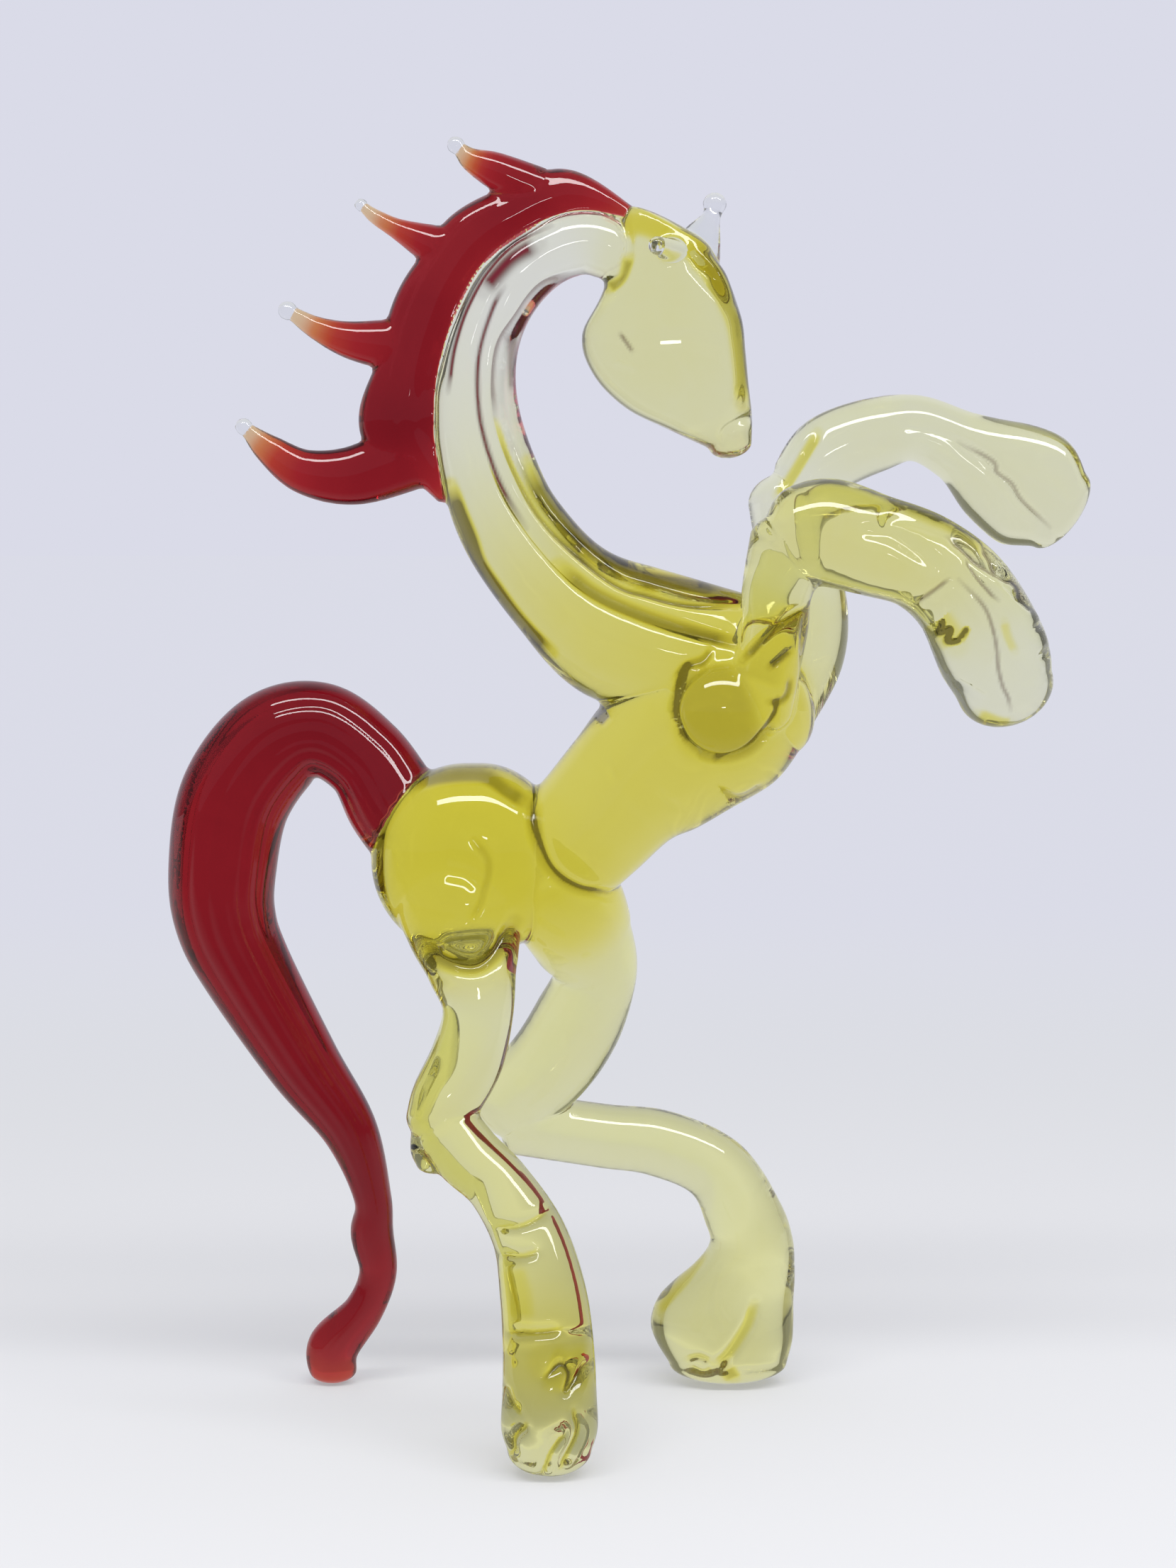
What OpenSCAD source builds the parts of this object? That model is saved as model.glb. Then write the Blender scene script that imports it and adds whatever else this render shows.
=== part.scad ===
// Lampworked solid-glass horse, rearing, on two hind hooves and the foot of its tail.
// Straw-yellow body and legs, deep red mane and tail, colourless ears and mane tips.
// Every piece is a gather or a rod of glass, worked in the flame and fused to its neighbour.
// Millimetres. +X is the way the horse faces, +Z is up, -Y is the near side.

/* [Stance] */
// Depth of the plane that the body, neck and head lie in
mid_y = 2; // [1:0.5:3]
// Depth of the near hind hoof's centre
near_hoof_y = -15; // [-16:0.5:-14]
// Depth of the far hind hoof's centre
far_hoof_y = 14; // [13:0.5:15]
// Depth of the tail's foot
tail_foot_y = 14; // [12:0.5:15]
// Depth of the near fore leg's knee
near_knee_y = -5; // [-6:0.5:-4]
// Depth of the far fore leg's knee
far_knee_y = 8.5; // [8:0.5:9.5]

/* [Body] */
// Half the height of the haunch at its fullest
haunch_r = 8.6; // [8.2:0.1:9]
// Half the thickness of the waist, at the seam of haunch and barrel
waist_r = 5.5; // [5:0.1:5.8]
// Half the height of the chest at its fullest
chest_r = 7.2; // [6.8:0.1:7.6]
// Half the thickness of the neck where it leaves the chest
neck_r = 5.8; // [5.4:0.1:6.2]
// Half the thickness of the neck at the poll
poll_r = 2.8; // [2.6:0.1:3]
// Depth of the haunch, barrel and chest as a share of their height
body_depth = 0.88; // [0.8:0.02:0.96]

/* [Head] */
// Half the width of the cheeks, seen from the side
cheek_r = 7; // [6.6:0.1:7.4]
// Half the thickness of the head
head_d = 4.2; // [3.6:0.1:4.6]
// Radius of the drop at the far ear's tip
ear_r = 1.05; // [0.9:0.05:1.2]

/* [Mane and tail] */
// Half the thickness of the mane
mane_d = 2.2; // [1.8:0.1:2.6]
// Radius of the clear bead at the tip of a mane lock
bead_r = 0.75; // [0.65:0.05:0.85]
// Half the width of the tail at its fullest
tail_r = 5; // [4.6:0.1:5.2]
// Depth of the tail as a share of its width
tail_depth = 0.75; // [0.65:0.05:0.85]

/* [Legs] */
// Half the width of the near hind hoof
near_hoof_r = 4.1; // [3.8:0.1:4.3]
// Half the width of the far hind hoof, which flares to the back
far_hoof_r = 6.4; // [6:0.1:6.6]
// Half the width of the near fore hoof
fore_hoof_r = 4.8; // [4.4:0.1:5]
// Half the width of the far fore hoof, which is squeezed to a paddle
paddle_r = 5.3; // [5:0.1:5.6]

/* [Facets] */
// Sides round a limb
sides = 18; // [12:2:20]
// Rings from one station of a limb to the next
steps = 2; // [2:1:3]

/* [Hidden] */

amber = [0.80, 0.76, 0.25];
straw = [0.84, 0.84, 0.64];
clear = [0.90, 0.92, 0.92];
red = [0.60, 0.07, 0.13];

down = [0, 0, -1];
// Angles of the rings that round off a limb's end
dome_angles = [30, 58, 82];

// A station of a limb is [x, y, z, half width seen from the side, half depth].
// The depth of a leg's station is a share of the way from the middle plane to the hoof.
function near_y(share) = mid_y + share * (near_hoof_y - mid_y);
function far_y(share) = mid_y + share * (far_hoof_y - mid_y);
function tail_y(share) = mid_y + share * (tail_foot_y - mid_y);

// Body, from the rump through the waist to the breast
haunch_st = [
    [-20.5, mid_y, 51, 0.66 * haunch_r, 0.68 * haunch_r * body_depth],
    [-18, mid_y, 51, 0.85 * haunch_r, 0.88 * haunch_r * body_depth],
    [-14, mid_y, 50.5, haunch_r, haunch_r * body_depth],
    [-9.5, mid_y, 50.5, 0.95 * haunch_r, 0.93 * haunch_r * body_depth],
    [-4.5, mid_y, 52.5, waist_r, waist_r * body_depth]
];
barrel_st = [
    [-0.2, mid_y, 56.8, 1.05 * waist_r, 1.12 * waist_r * body_depth],
    [1.6, mid_y, 59.6, 1.33 * waist_r, 1.28 * waist_r * body_depth]
];
chest_st = [
    [5, mid_y, 62, 1.02 * chest_r, chest_r * body_depth],
    [9, mid_y, 64.5, chest_r, chest_r * body_depth],
    [12.5, mid_y, 67.5, 0.75 * chest_r, 0.75 * chest_r * body_depth]
];
body_st = concat(haunch_st, barrel_st, chest_st);
rump_length = 2.4;
breast_length = 3;

// Neck, an arch of rod that thins from the chest to the poll
neck_st = [
    [10, mid_y, 67.5, 1.08 * neck_r, neck_r],
    [4.5, mid_y, 69.2, 1.08 * neck_r, neck_r],
    [-1, mid_y, 71.5, neck_r, 0.95 * neck_r],
    [-6, mid_y, 74.5, 0.88 * neck_r, 0.85 * neck_r],
    [-10, mid_y, 79.5, 0.8 * neck_r, 0.76 * neck_r],
    [-12, mid_y, 84, 0.74 * neck_r, 0.7 * neck_r],
    [-13.2, mid_y, 89, 0.66 * neck_r, 0.62 * neck_r],
    [-13.2, mid_y, 93.5, 0.59 * neck_r, 0.56 * neck_r],
    [-12.2, mid_y, 97.5, 1.13 * poll_r, 1.13 * poll_r],
    [-10.2, mid_y, 101, 1.1 * poll_r, 1.1 * poll_r],
    [-7.2, mid_y, 103.5, 1.04 * poll_r, 1.04 * poll_r],
    [-4, mid_y, 104.5, poll_r, poll_r],
    [-1.5, mid_y, 104, poll_r, poll_r]
];
poll_length = 1.8;

// Head, a flattened drop. A sixth value is the tilt of the ring, in degrees up towards the face.
head_st = [
    [3.6, mid_y, 105.5, 0.59 * cheek_r, 0.6 * head_d, -28],
    [3.3, mid_y, 101, 0.77 * cheek_r, 0.85 * head_d, 3],
    [2.9, mid_y, 97.2, cheek_r, head_d, 6],
    [3.6, mid_y, 94, 0.96 * cheek_r, head_d, 9],
    [5.2, mid_y, 91, 0.77 * cheek_r, 0.88 * head_d, 10],
    [7.2, mid_y, 88.8, 0.52 * cheek_r, 0.68 * head_d, 9],
    [8.9, mid_y, 87, 0.27 * cheek_r, 0.45 * head_d, 10]
];
brow_length = 0.8;
muzzle_length = 1.2;

// Lengths by which the rounded ends of the limbs pass their last stations
root_length = 3;
hock_length = 2.2;
elbow_length = 2;
knee_length = 2.6;
shank_length = 1.4;
near_knee_length = 3.4;
fore_toe_length = 3;
paddle_toe_length = 1.9;
spur_length = 0.8;
tip_length = 0.5;

// Ears, drops pulled out of the poll: the far one stands up, the near one points to the viewer
far_ear_st = [
    [6, mid_y + 1.2, 103.4, 2.1, 1.5],
    [6.9, mid_y + 2.4, 105.6, 1.1, 1],
    [7.4, mid_y + 3.1, 107, 0.8 * ear_r, 0.8 * ear_r],
    [7.6, mid_y + 3.5, 108, ear_r, ear_r]
];
near_ear_st = [
    [3.6, mid_y - 1.6, 103.2, 1.6, 1.4],
    [3.4, mid_y - 3.4, 104, 0.9, 0.8],
    [3.2, mid_y - 4.8, 104.6, 0.75 * ear_r, 0.75 * ear_r]
];

// Mane: a crest laid along the back of the neck, with four locks pulled out of it
crest_st = [
    [0, mid_y, 107, 0.7, 0.5 * mane_d],
    [-5.5, mid_y, 108.7, 2.1, 0.9 * mane_d],
    [-10.2, mid_y, 106.9, 2.4, mane_d],
    [-13.6, mid_y, 104.8, 2.7, mane_d],
    [-15.8, mid_y, 102, 2.7, mane_d],
    [-17.6, mid_y, 98.6, 3, mane_d],
    [-19.2, mid_y, 93.3, 3, mane_d],
    [-19.8, mid_y, 88.5, 3.7, mane_d],
    [-17.7, mid_y, 85, 1.7, 0.8 * mane_d],
    [-16.2, mid_y, 82.5, 0.7, 0.5 * mane_d]
];
lock_st = [
    [
        [-8, mid_y - 0.3, 109, 2, 0.85 * mane_d],
        [-11.6, mid_y - 0.7, 110.6, 1.6, 0.75 * mane_d],
        [-13.6, mid_y - 0.9, 111.5, 1.05, 0.5 * mane_d],
        [-14.6, mid_y - 1, 112.4, 0.6, 0.28 * mane_d]
    ],
    [
        [-16.5, mid_y, 104, 2, 0.85 * mane_d],
        [-20, mid_y + 0.3, 105.6, 0.95, 0.5 * mane_d],
        [-22, mid_y + 0.5, 106.7, 0.65, 0.35 * mane_d],
        [-23, mid_y + 0.6, 107.5, 0.45, 0.25 * mane_d]
    ],
    [
        [-19.5, mid_y, 95.5, 2.5, 0.85 * mane_d],
        [-24, mid_y - 0.3, 96, 1.7, 0.7 * mane_d],
        [-27, mid_y - 0.5, 97, 1.05, 0.45 * mane_d],
        [-29.2, mid_y - 0.6, 98.3, 0.6, 0.28 * mane_d]
    ],
    [
        [-19, mid_y, 86, 3, 0.9 * mane_d],
        [-24, mid_y + 0.3, 84.3, 2.6, 0.8 * mane_d],
        [-28.3, mid_y + 0.5, 84.6, 2, 0.7 * mane_d],
        [-31.4, mid_y + 0.6, 86.5, 1.35, 0.5 * mane_d],
        [-33.3, mid_y + 0.6, 88.2, 0.65, 0.28 * mane_d]
    ]
];
// Size of each lock's clear bead as a share of bead_r, and how far it stands out as a share of its radius
bead_share = [1, 0.75, 1.1, 1];
bead_stand = 0.65;

// Tail: leaves the rump upwards, arches over, sweeps down and ends in a small foot
tail_st = [
    [-18.5, tail_y(0), 53, 0.92 * tail_r, 0.9 * tail_r * tail_depth],
    [-20.7, tail_y(0.03), 55.5, 0.86 * tail_r, 0.9 * tail_r * tail_depth],
    [-23.2, tail_y(0.08), 59.3, 0.78 * tail_r, 0.85 * tail_r * tail_depth],
    [-27.2, tail_y(0.13), 61.8, 0.85 * tail_r, 0.9 * tail_r * tail_depth],
    [-31.4, tail_y(0.18), 60.5, 0.97 * tail_r, tail_r * tail_depth],
    [-35, tail_y(0.25), 55.6, tail_r, tail_r * tail_depth],
    [-36.3, tail_y(0.33), 49.2, 0.97 * tail_r, tail_r * tail_depth],
    [-36.2, tail_y(0.41), 44.6, 0.92 * tail_r, 0.95 * tail_r * tail_depth],
    [-34.5, tail_y(0.5), 40, 0.84 * tail_r, 0.9 * tail_r * tail_depth],
    [-29.6, tail_y(0.66), 31, 0.68 * tail_r, 0.8 * tail_r * tail_depth],
    [-25.4, tail_y(0.75), 24.5, 0.51 * tail_r, 0.65 * tail_r * tail_depth],
    [-23.4, tail_y(0.83), 18, 0.35 * tail_r, 0.5 * tail_r * tail_depth],
    [-23.5, tail_y(0.88), 14.5, 0.4 * tail_r, 0.5 * tail_r * tail_depth],
    [-23, tail_y(0.92), 10.7, 0.35 * tail_r, 0.45 * tail_r * tail_depth],
    [-24.4, tail_y(0.96), 7, 0.37 * tail_r, 0.5 * tail_r * tail_depth],
    [-27.4, tail_y(1), 3.5, 0.48 * tail_r, 0.55 * tail_r * tail_depth]
];
tail_foot = [-27.3, tail_foot_y, 0, 1.4, 1.4];

// Hind legs: thigh, cannon and hoof, bent back at the hock
near_thigh_st = [
    [-14.6, near_y(0.2), 46.5, 5.6, 4.4],
    [-13.9, near_y(0.26), 43.5, 4.7, 4.1],
    [-13.4, near_y(0.31), 41, 3.9, 3.7],
    [-12.9, near_y(0.36), 37.7, 3.2, 3.2],
    [-14, near_y(0.42), 34, 3.2, 3.2],
    [-15.7, near_y(0.48), 30.7, 3.1, 3.1],
    [-16.4, near_y(0.51), 28.7, 2.9, 2.9]
];
near_spur_st = [
    [-16.4, near_y(0.53), 28, 2.4, 1.9],
    [-16.8, near_y(0.54), 26, 2.1, 1.7],
    [-16.9, near_y(0.54), 25, 1.5, 1.4]
];
near_shank_st = [
    [-15.8, near_y(0.52), 28, 3, 3],
    [-13.8, near_y(0.57), 25.8, 2.9, 2.9],
    [-11.2, near_y(0.64), 23.5, 2.8, 2.8],
    [-8.6, near_y(0.73), 19.5, 3.2, 3.1],
    [-7.4, near_y(0.82), 15, 0.9 * near_hoof_r, 0.88 * near_hoof_r],
    [-6.9, near_y(0.91), 10.5, 0.95 * near_hoof_r, 0.95 * near_hoof_r],
    [-6.8, near_y(0.97), 7, 0.98 * near_hoof_r, near_hoof_r],
    [-6.8, near_y(1), 3, near_hoof_r, near_hoof_r]
];
near_rim = [-6.8, near_hoof_y, 1, 0.9 * near_hoof_r, 0.95 * near_hoof_r];
near_sole = [-6.8, near_hoof_y, 0, 0.66 * near_hoof_r, 0.78 * near_hoof_r];

far_thigh_st = [
    [-4.4, far_y(0.25), 47.5, 4.2, 3.6],
    [-4, far_y(0.34), 43.8, 4.7, 3.8],
    [-2.8, far_y(0.42), 39.8, 3.7, 3.7],
    [-4.5, far_y(0.5), 35, 4.1, 3.8],
    [-7.4, far_y(0.58), 30.5, 4, 3.6],
    [-11.6, far_y(0.66), 27, 3.5, 3.2]
];
far_shank_st = [
    [-10, far_y(0.7), 25.2, 2.9, 2.9],
    [-2.2, far_y(0.8), 23.8, 2.95, 2.9],
    [3, far_y(0.85), 23, 3.1, 3],
    [8.2, far_y(0.92), 20.5, 3.2, 3.1],
    [10.9, far_y(0.96), 16, 3.55, 3.4],
    [11.2, far_y(1), 11.5, 0.66 * far_hoof_r, 3.8],
    [9, far_y(1), 6.8, 1.05 * far_hoof_r, 4.2],
    [9.4, far_y(1), 3, 0.92 * far_hoof_r, 4.3]
];
far_rim = [9.8, far_hoof_y, 1, 0.78 * far_hoof_r, 4];
far_sole = [10.2, far_hoof_y, 0, 0.56 * far_hoof_r, 3.2];

// Fore legs: upper arm, forearm and hoof, lifted and bent at the knee
near_arm_st = [
    [13.2, mid_y - 3, 65.5, 2.9, 2.8],
    [13.2, mid_y - 5.5, 70.2, 3, 2.9],
    [12.8, near_knee_y + 0.5, 74.6, 3.1, 3],
    [13.8, near_knee_y, 78.3, 3.6, 3.4]
];
near_fore_st = [
    [15, near_knee_y, 79.2, 4.4, 4],
    [17.2, near_knee_y, 79.4, 4.65, 4.2],
    [20.8, near_knee_y - 0.5, 78.4, 4.4, 4.2],
    [25, near_knee_y - 1, 77, 4.25, 4.1],
    [28.6, near_knee_y - 1, 74, 0.94 * fore_hoof_r, 4],
    [31.1, near_knee_y - 1, 69.3, fore_hoof_r, 3.7],
    [32.2, near_knee_y - 1, 66, 0.93 * fore_hoof_r, 3.3]
];
far_arm_st = [
    [14.6, far_knee_y - 3, 64.8, 3.8, 3.2],
    [16.4, far_knee_y - 1.5, 69.2, 3.5, 3.2],
    [16.2, far_knee_y - 0.5, 73.6, 3.5, 3.2],
    [14.6, far_knee_y, 79, 3.5, 3.3],
    [14.3, far_knee_y, 82, 3.5, 3.4]
];
far_fore_st = [
    [16, far_knee_y, 83.8, 3.2, 3.2],
    [18, far_knee_y, 86.2, 3.5, 3.3],
    [21.8, far_knee_y, 87.8, 3.35, 3.2],
    [25.7, far_knee_y + 0.5, 88.5, 2.95, 3],
    [29.6, far_knee_y + 0.5, 86.9, 3.3, 3],
    [33.2, far_knee_y + 0.5, 84.7, 0.92 * paddle_r, 2.8],
    [36.4, far_knee_y + 0.5, 82.8, 1.03 * paddle_r, 2.5],
    [38.7, far_knee_y + 0.5, 81.2, 0.75 * paddle_r, 2.2]
];

// A limb's stations joined by a smooth curve, with the half width and depth eased alike
function unit(v) = v / norm(v);
function ease(a, b, c, d, t) =
    0.5 * (2 * b + (c - a) * t + (2 * a - 5 * b + 4 * c - d) * t * t + (3 * b - a - 3 * c + d) * t * t * t);
function last(list) = list[len(list) - 1];
function curve(st) = concat(
    [for (i = [0:len(st) - 2], k = [0:steps - 1])
        ease(st[max(i - 1, 0)], st[i], st[i + 1], st[min(i + 2, len(st) - 1)], k / steps)],
    [last(st)]
);
function place(s) = [s[0], s[1], s[2]];
function heading(path, i) =
    unit(place(path[min(i + 1, len(path) - 1)]) - place(path[max(i - 1, 0)]));

// One elliptical ring about a limb: its width lies in the side view, its depth along Y
function ring(centre, axis, width, depth) =
    let (across = unit([0, 1, 0] - axis[1] * axis), up = cross(across, axis))
    [for (k = [0:sides - 1])
        centre + width * cos(360 * k / sides) * up + depth * sin(360 * k / sides) * across];
function tilted(angle) = [sin(angle), 0, -cos(angle)];
function station_ring(s, axis) = ring(place(s), axis, s[3], s[4]);
function limb(st) =
    let (path = curve(st))
    [for (i = [0:len(path) - 1]) station_ring(path[i], heading(path, i))];

// Rings that round a limb off past station s, along axis
function dome(s, axis, length) = [
    for (a = dome_angles)
        ring(place(s) + length * sin(a) * axis, axis, s[3] * cos(a), s[4] * cos(a))
];
function start_axis(st) = let (path = curve(st)) heading(path, 0);
function end_axis(st) = let (path = curve(st)) heading(path, len(path) - 1);
function backwards(list) = [for (i = [len(list) - 1:-1:0]) list[i]];
function start_dome(st, axis, length) = backwards(dome(st[0], axis, -length));
function end_dome(st, axis, length) = dome(last(st), axis, length);
function part_of(list, from, to) = [for (i = [from:to]) list[i]];

// A closed skin over a run of rings
module skin(rings) {
    count = len(rings);
    walls = [
        for (i = [0:count - 2], k = [0:sides - 1])
            let (a = i * sides + k, b = i * sides + (k + 1) % sides)
            each [[a, b + sides, b], [a, a + sides, b + sides]]
    ];
    first_end = [for (k = [0:sides - 1]) k];
    last_end = [for (k = [0:sides - 1]) count * sides - 1 - k];
    polyhedron([for (r = rings) each r], concat([first_end], walls, [last_end]));
}

// A limb with both ends rounded
module rounded_limb(st, start_length, end_length) {
    skin(concat(
        start_dome(st, start_axis(st), start_length),
        limb(st),
        end_dome(st, end_axis(st), end_length)
    ));
}

// Rings shared by pieces that meet face to face
body_rings = limb(body_st);
waist = (len(haunch_st) - 1) * steps;
girth = waist + len(barrel_st) * steps;
near_shank = limb(near_shank_st);
near_coronet = 5 * steps;
far_shank = limb(far_shank_st);
far_coronet = 5 * steps;
near_fore = limb(near_fore_st);
near_fore_coronet = 4 * steps;
far_fore = limb(far_fore_st);
far_fore_coronet = 4 * steps;

// Whole shapes, before a neighbour is cut out of them
module torso() {
    skin(concat(
        start_dome(body_st, start_axis(body_st), rump_length),
        body_rings,
        end_dome(body_st, end_axis(body_st), breast_length)
    ));
}
module neck_shape() {
    rounded_limb(neck_st, breast_length, poll_length);
}
module head_shape() {
    skin(concat(
        start_dome(head_st, tilted(head_st[0][5]), brow_length),
        [for (s = curve(head_st)) station_ring(s, tilted(s[5]))],
        end_dome(head_st, tilted(last(head_st)[5]), muzzle_length)
    ));
}
module crest_shape() {
    rounded_limb(crest_st, tip_length, tip_length);
}
module lock_shape(i) {
    rounded_limb(lock_st[i], tip_length, tip_length);
}
module near_thigh_shape() {
    rounded_limb(near_thigh_st, root_length, hock_length);
}
module far_thigh_shape() {
    rounded_limb(far_thigh_st, root_length, hock_length);
}
module near_arm_shape() {
    rounded_limb(near_arm_st, elbow_length, knee_length);
}
module far_arm_shape() {
    rounded_limb(far_arm_st, elbow_length, knee_length);
}

// Hindquarters: a bulb of glass that carries the legs and the tail
module haunch() {
    color(amber)
        skin(concat(
            start_dome(body_st, start_axis(body_st), rump_length),
            part_of(body_rings, 0, waist)
        ));
}

// Barrel, fused to the haunch at the waist
module barrel() {
    color(amber) skin(part_of(body_rings, waist, girth));
}

// Chest, with a rounded breast
module chest() {
    color(amber)
        skin(concat(
            part_of(body_rings, girth, len(body_rings) - 1),
            end_dome(body_st, end_axis(body_st), breast_length)
        ));
}

module neck() {
    color(straw)
        difference() {
            neck_shape();
            torso();
        }
}

// Head, fused over the rounded end of the neck
module head() {
    color(straw)
        difference() {
            head_shape();
            neck_shape();
        }
}

module ear(st) {
    color(clear)
        difference() {
            rounded_limb(st, tip_length, last(st)[3]);
            head_shape();
        }
}

module mane_crest() {
    color(red)
        difference() {
            crest_shape();
            neck_shape();
            head_shape();
        }
}

module mane_lock(i) {
    color(red)
        difference() {
            lock_shape(i);
            crest_shape();
            neck_shape();
        }
}

// Clear bead left where a lock was burned off its rod
module mane_tip(i) {
    r = bead_r * bead_share[i];
    axis = end_axis(lock_st[i]);
    bead = concat(place(last(lock_st[i])) + bead_stand * r * axis, [r, r]);
    color(clear)
        difference() {
            skin(concat(start_dome([bead], axis, r), [station_ring(bead, axis)], end_dome([bead], axis, r)));
            lock_shape(i);
        }
}

module tail() {
    color(red)
        difference() {
            skin(concat(
                start_dome(tail_st, start_axis(tail_st), tip_length),
                limb(tail_st),
                [station_ring(tail_foot, down)]
            ));
            torso();
        }
}

module near_thigh() {
    color(straw)
        difference() {
            near_thigh_shape();
            torso();
        }
}

// Point of the hock: the end of the thigh's rod, left standing behind the bend
module near_hock_spur() {
    color(straw)
        difference() {
            rounded_limb(near_spur_st, tip_length, spur_length);
            near_thigh_shape();
            skin(near_shank);
        }
}

module near_hind_cannon() {
    color(straw)
        difference() {
            skin(concat(
                start_dome(near_shank_st, start_axis(near_shank_st), shank_length),
                part_of(near_shank, 0, near_coronet)
            ));
            near_thigh_shape();
        }
}

module near_hind_hoof() {
    color(straw)
        skin(concat(
            part_of(near_shank, near_coronet, len(near_shank) - 1),
            [station_ring(near_rim, down), station_ring(near_sole, down)]
        ));
}

module far_thigh() {
    color(straw)
        difference() {
            far_thigh_shape();
            torso();
        }
}

module far_hind_cannon() {
    color(straw)
        difference() {
            skin(concat(
                start_dome(far_shank_st, start_axis(far_shank_st), shank_length),
                part_of(far_shank, 0, far_coronet)
            ));
            far_thigh_shape();
        }
}

module far_hind_hoof() {
    color(straw)
        skin(concat(
            part_of(far_shank, far_coronet, len(far_shank) - 1),
            [station_ring(far_rim, down), station_ring(far_sole, down)]
        ));
}

module near_upper_arm() {
    color(straw)
        difference() {
            near_arm_shape();
            torso();
            neck_shape();
        }
}

module near_forearm() {
    color(straw)
        difference() {
            skin(concat(
                start_dome(near_fore_st, start_axis(near_fore_st), near_knee_length),
                part_of(near_fore, 0, near_fore_coronet)
            ));
            near_arm_shape();
        }
}

module near_fore_hoof() {
    color(straw)
        skin(concat(
            part_of(near_fore, near_fore_coronet, len(near_fore) - 1),
            end_dome(near_fore_st, end_axis(near_fore_st), fore_toe_length)
        ));
}

module far_upper_arm() {
    color(straw)
        difference() {
            far_arm_shape();
            torso();
            neck_shape();
        }
}

module far_forearm() {
    color(straw)
        difference() {
            skin(concat(
                start_dome(far_fore_st, start_axis(far_fore_st), hock_length),
                part_of(far_fore, 0, far_fore_coronet)
            ));
            far_arm_shape();
        }
}

module far_fore_hoof() {
    color(straw)
        skin(concat(
            part_of(far_fore, far_fore_coronet, len(far_fore) - 1),
            end_dome(far_fore_st, end_axis(far_fore_st), paddle_toe_length)
        ));
}

haunch();
barrel();
chest();
neck();
head();
ear(near_ear_st);  // near_ear
ear(far_ear_st);  // far_ear
mane_crest();
mane_lock(0);  // mane_lock_1
mane_lock(1);  // mane_lock_2
mane_lock(2);  // mane_lock_3
mane_lock(3);  // mane_lock_4
mane_tip(0);  // mane_tip_1
mane_tip(1);  // mane_tip_2
mane_tip(2);  // mane_tip_3
mane_tip(3);  // mane_tip_4
tail();
near_thigh();
near_hock_spur();
near_hind_cannon();
near_hind_hoof();
far_thigh();
far_hind_cannon();
far_hind_hoof();
near_upper_arm();
near_forearm();
near_fore_hoof();
far_upper_arm();
far_forearm();
far_fore_hoof();
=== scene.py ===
import heapq
import math

import bpy
import numpy as np
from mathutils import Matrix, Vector
from mathutils.bvhtree import BVHTree


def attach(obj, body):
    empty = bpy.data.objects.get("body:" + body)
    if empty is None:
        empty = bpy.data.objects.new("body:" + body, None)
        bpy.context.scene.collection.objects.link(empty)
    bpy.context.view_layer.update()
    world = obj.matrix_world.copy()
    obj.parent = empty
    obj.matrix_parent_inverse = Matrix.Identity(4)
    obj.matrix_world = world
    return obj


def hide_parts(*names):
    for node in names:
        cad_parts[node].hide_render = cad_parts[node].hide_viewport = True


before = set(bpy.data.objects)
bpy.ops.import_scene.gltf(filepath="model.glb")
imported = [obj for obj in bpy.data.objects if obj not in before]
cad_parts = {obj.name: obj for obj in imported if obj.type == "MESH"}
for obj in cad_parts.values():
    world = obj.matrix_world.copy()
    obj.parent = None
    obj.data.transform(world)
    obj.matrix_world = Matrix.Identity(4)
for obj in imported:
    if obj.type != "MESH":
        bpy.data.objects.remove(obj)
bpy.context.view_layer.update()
scene = bpy.context.scene

# Camera. The horse is seen square from its near side, from the height of its muzzle and about
# 0.3 m away, looking down a little.
camera = bpy.data.objects.new("camera", bpy.data.cameras.new("camera"))
scene.collection.objects.link(camera)
camera.location = (-0.00353, -0.298, 0.085)
camera.rotation_euler = (math.radians(90 - 5.3), 0, 0)
camera.data.sensor_width = 36
camera.data.lens = 78.38
camera.data.clip_start = 0.01
scene.camera = camera

# Haunch. A gather of solid yellow soda-lime glass, marvered to a bulb: the hind legs and the tail
# are fused to it hot. It is the thickest glass on the horse, so its yellow is the deepest.
MID = 2.0  # depth of the middle plane, mm; all sizes up to the fusing are in millimetres
MATH = "ShaderNodeMath"
VECTOR = "ShaderNodeVectorMath"


def node(tree, kind, inputs=(), stops=(), **settings):
    """Adds a node with its settings, the stops of its colour ramp and its links. An input is a
    value, a socket, or a node whose first output is meant."""
    made = tree.nodes.new(kind)
    for name, value in settings.items():
        setattr(made, name, value)
    for _ in stops[2:]:
        made.color_ramp.elements.new(0.5)
    for number, (position, colour) in enumerate(stops):
        made.color_ramp.elements[number].position = position
        made.color_ramp.elements[number].color = colour
    for key, value in dict(inputs).items():
        if isinstance(value, bpy.types.Node):
            value = value.outputs[0]
        if isinstance(value, bpy.types.NodeSocket):
            tree.links.new(value, made.inputs[key])
        else:
            made.inputs[key].default_value = value
    return made


def linear(code):
    """Turns an sRGB hex colour into linear light."""
    rgb = [int(code[i : i + 2], 16) / 255 for i in (1, 3, 5)]
    return [c / 12.92 if c <= 0.04045 else ((c + 0.055) / 1.055) ** 2.4 for c in rgb] + [1]


CORD_MM = 3.85  # spacing of the faint cords that turning in the flame leaves in the colour
RIPPLE_MM = 5.55  # spacing of the slow ripple of a skin shaped by hand
RAMP_END = 2.0  # tint at the last stop of a colour ramp
MOST_GAIN = 0.8  # the most that a long way inside the glass adds to the tint
# Dark ruby, mixed into the glass's colour as painted shade, as painted red lines and below the mane.
DARK_RUBY = "#4A0206"


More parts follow.
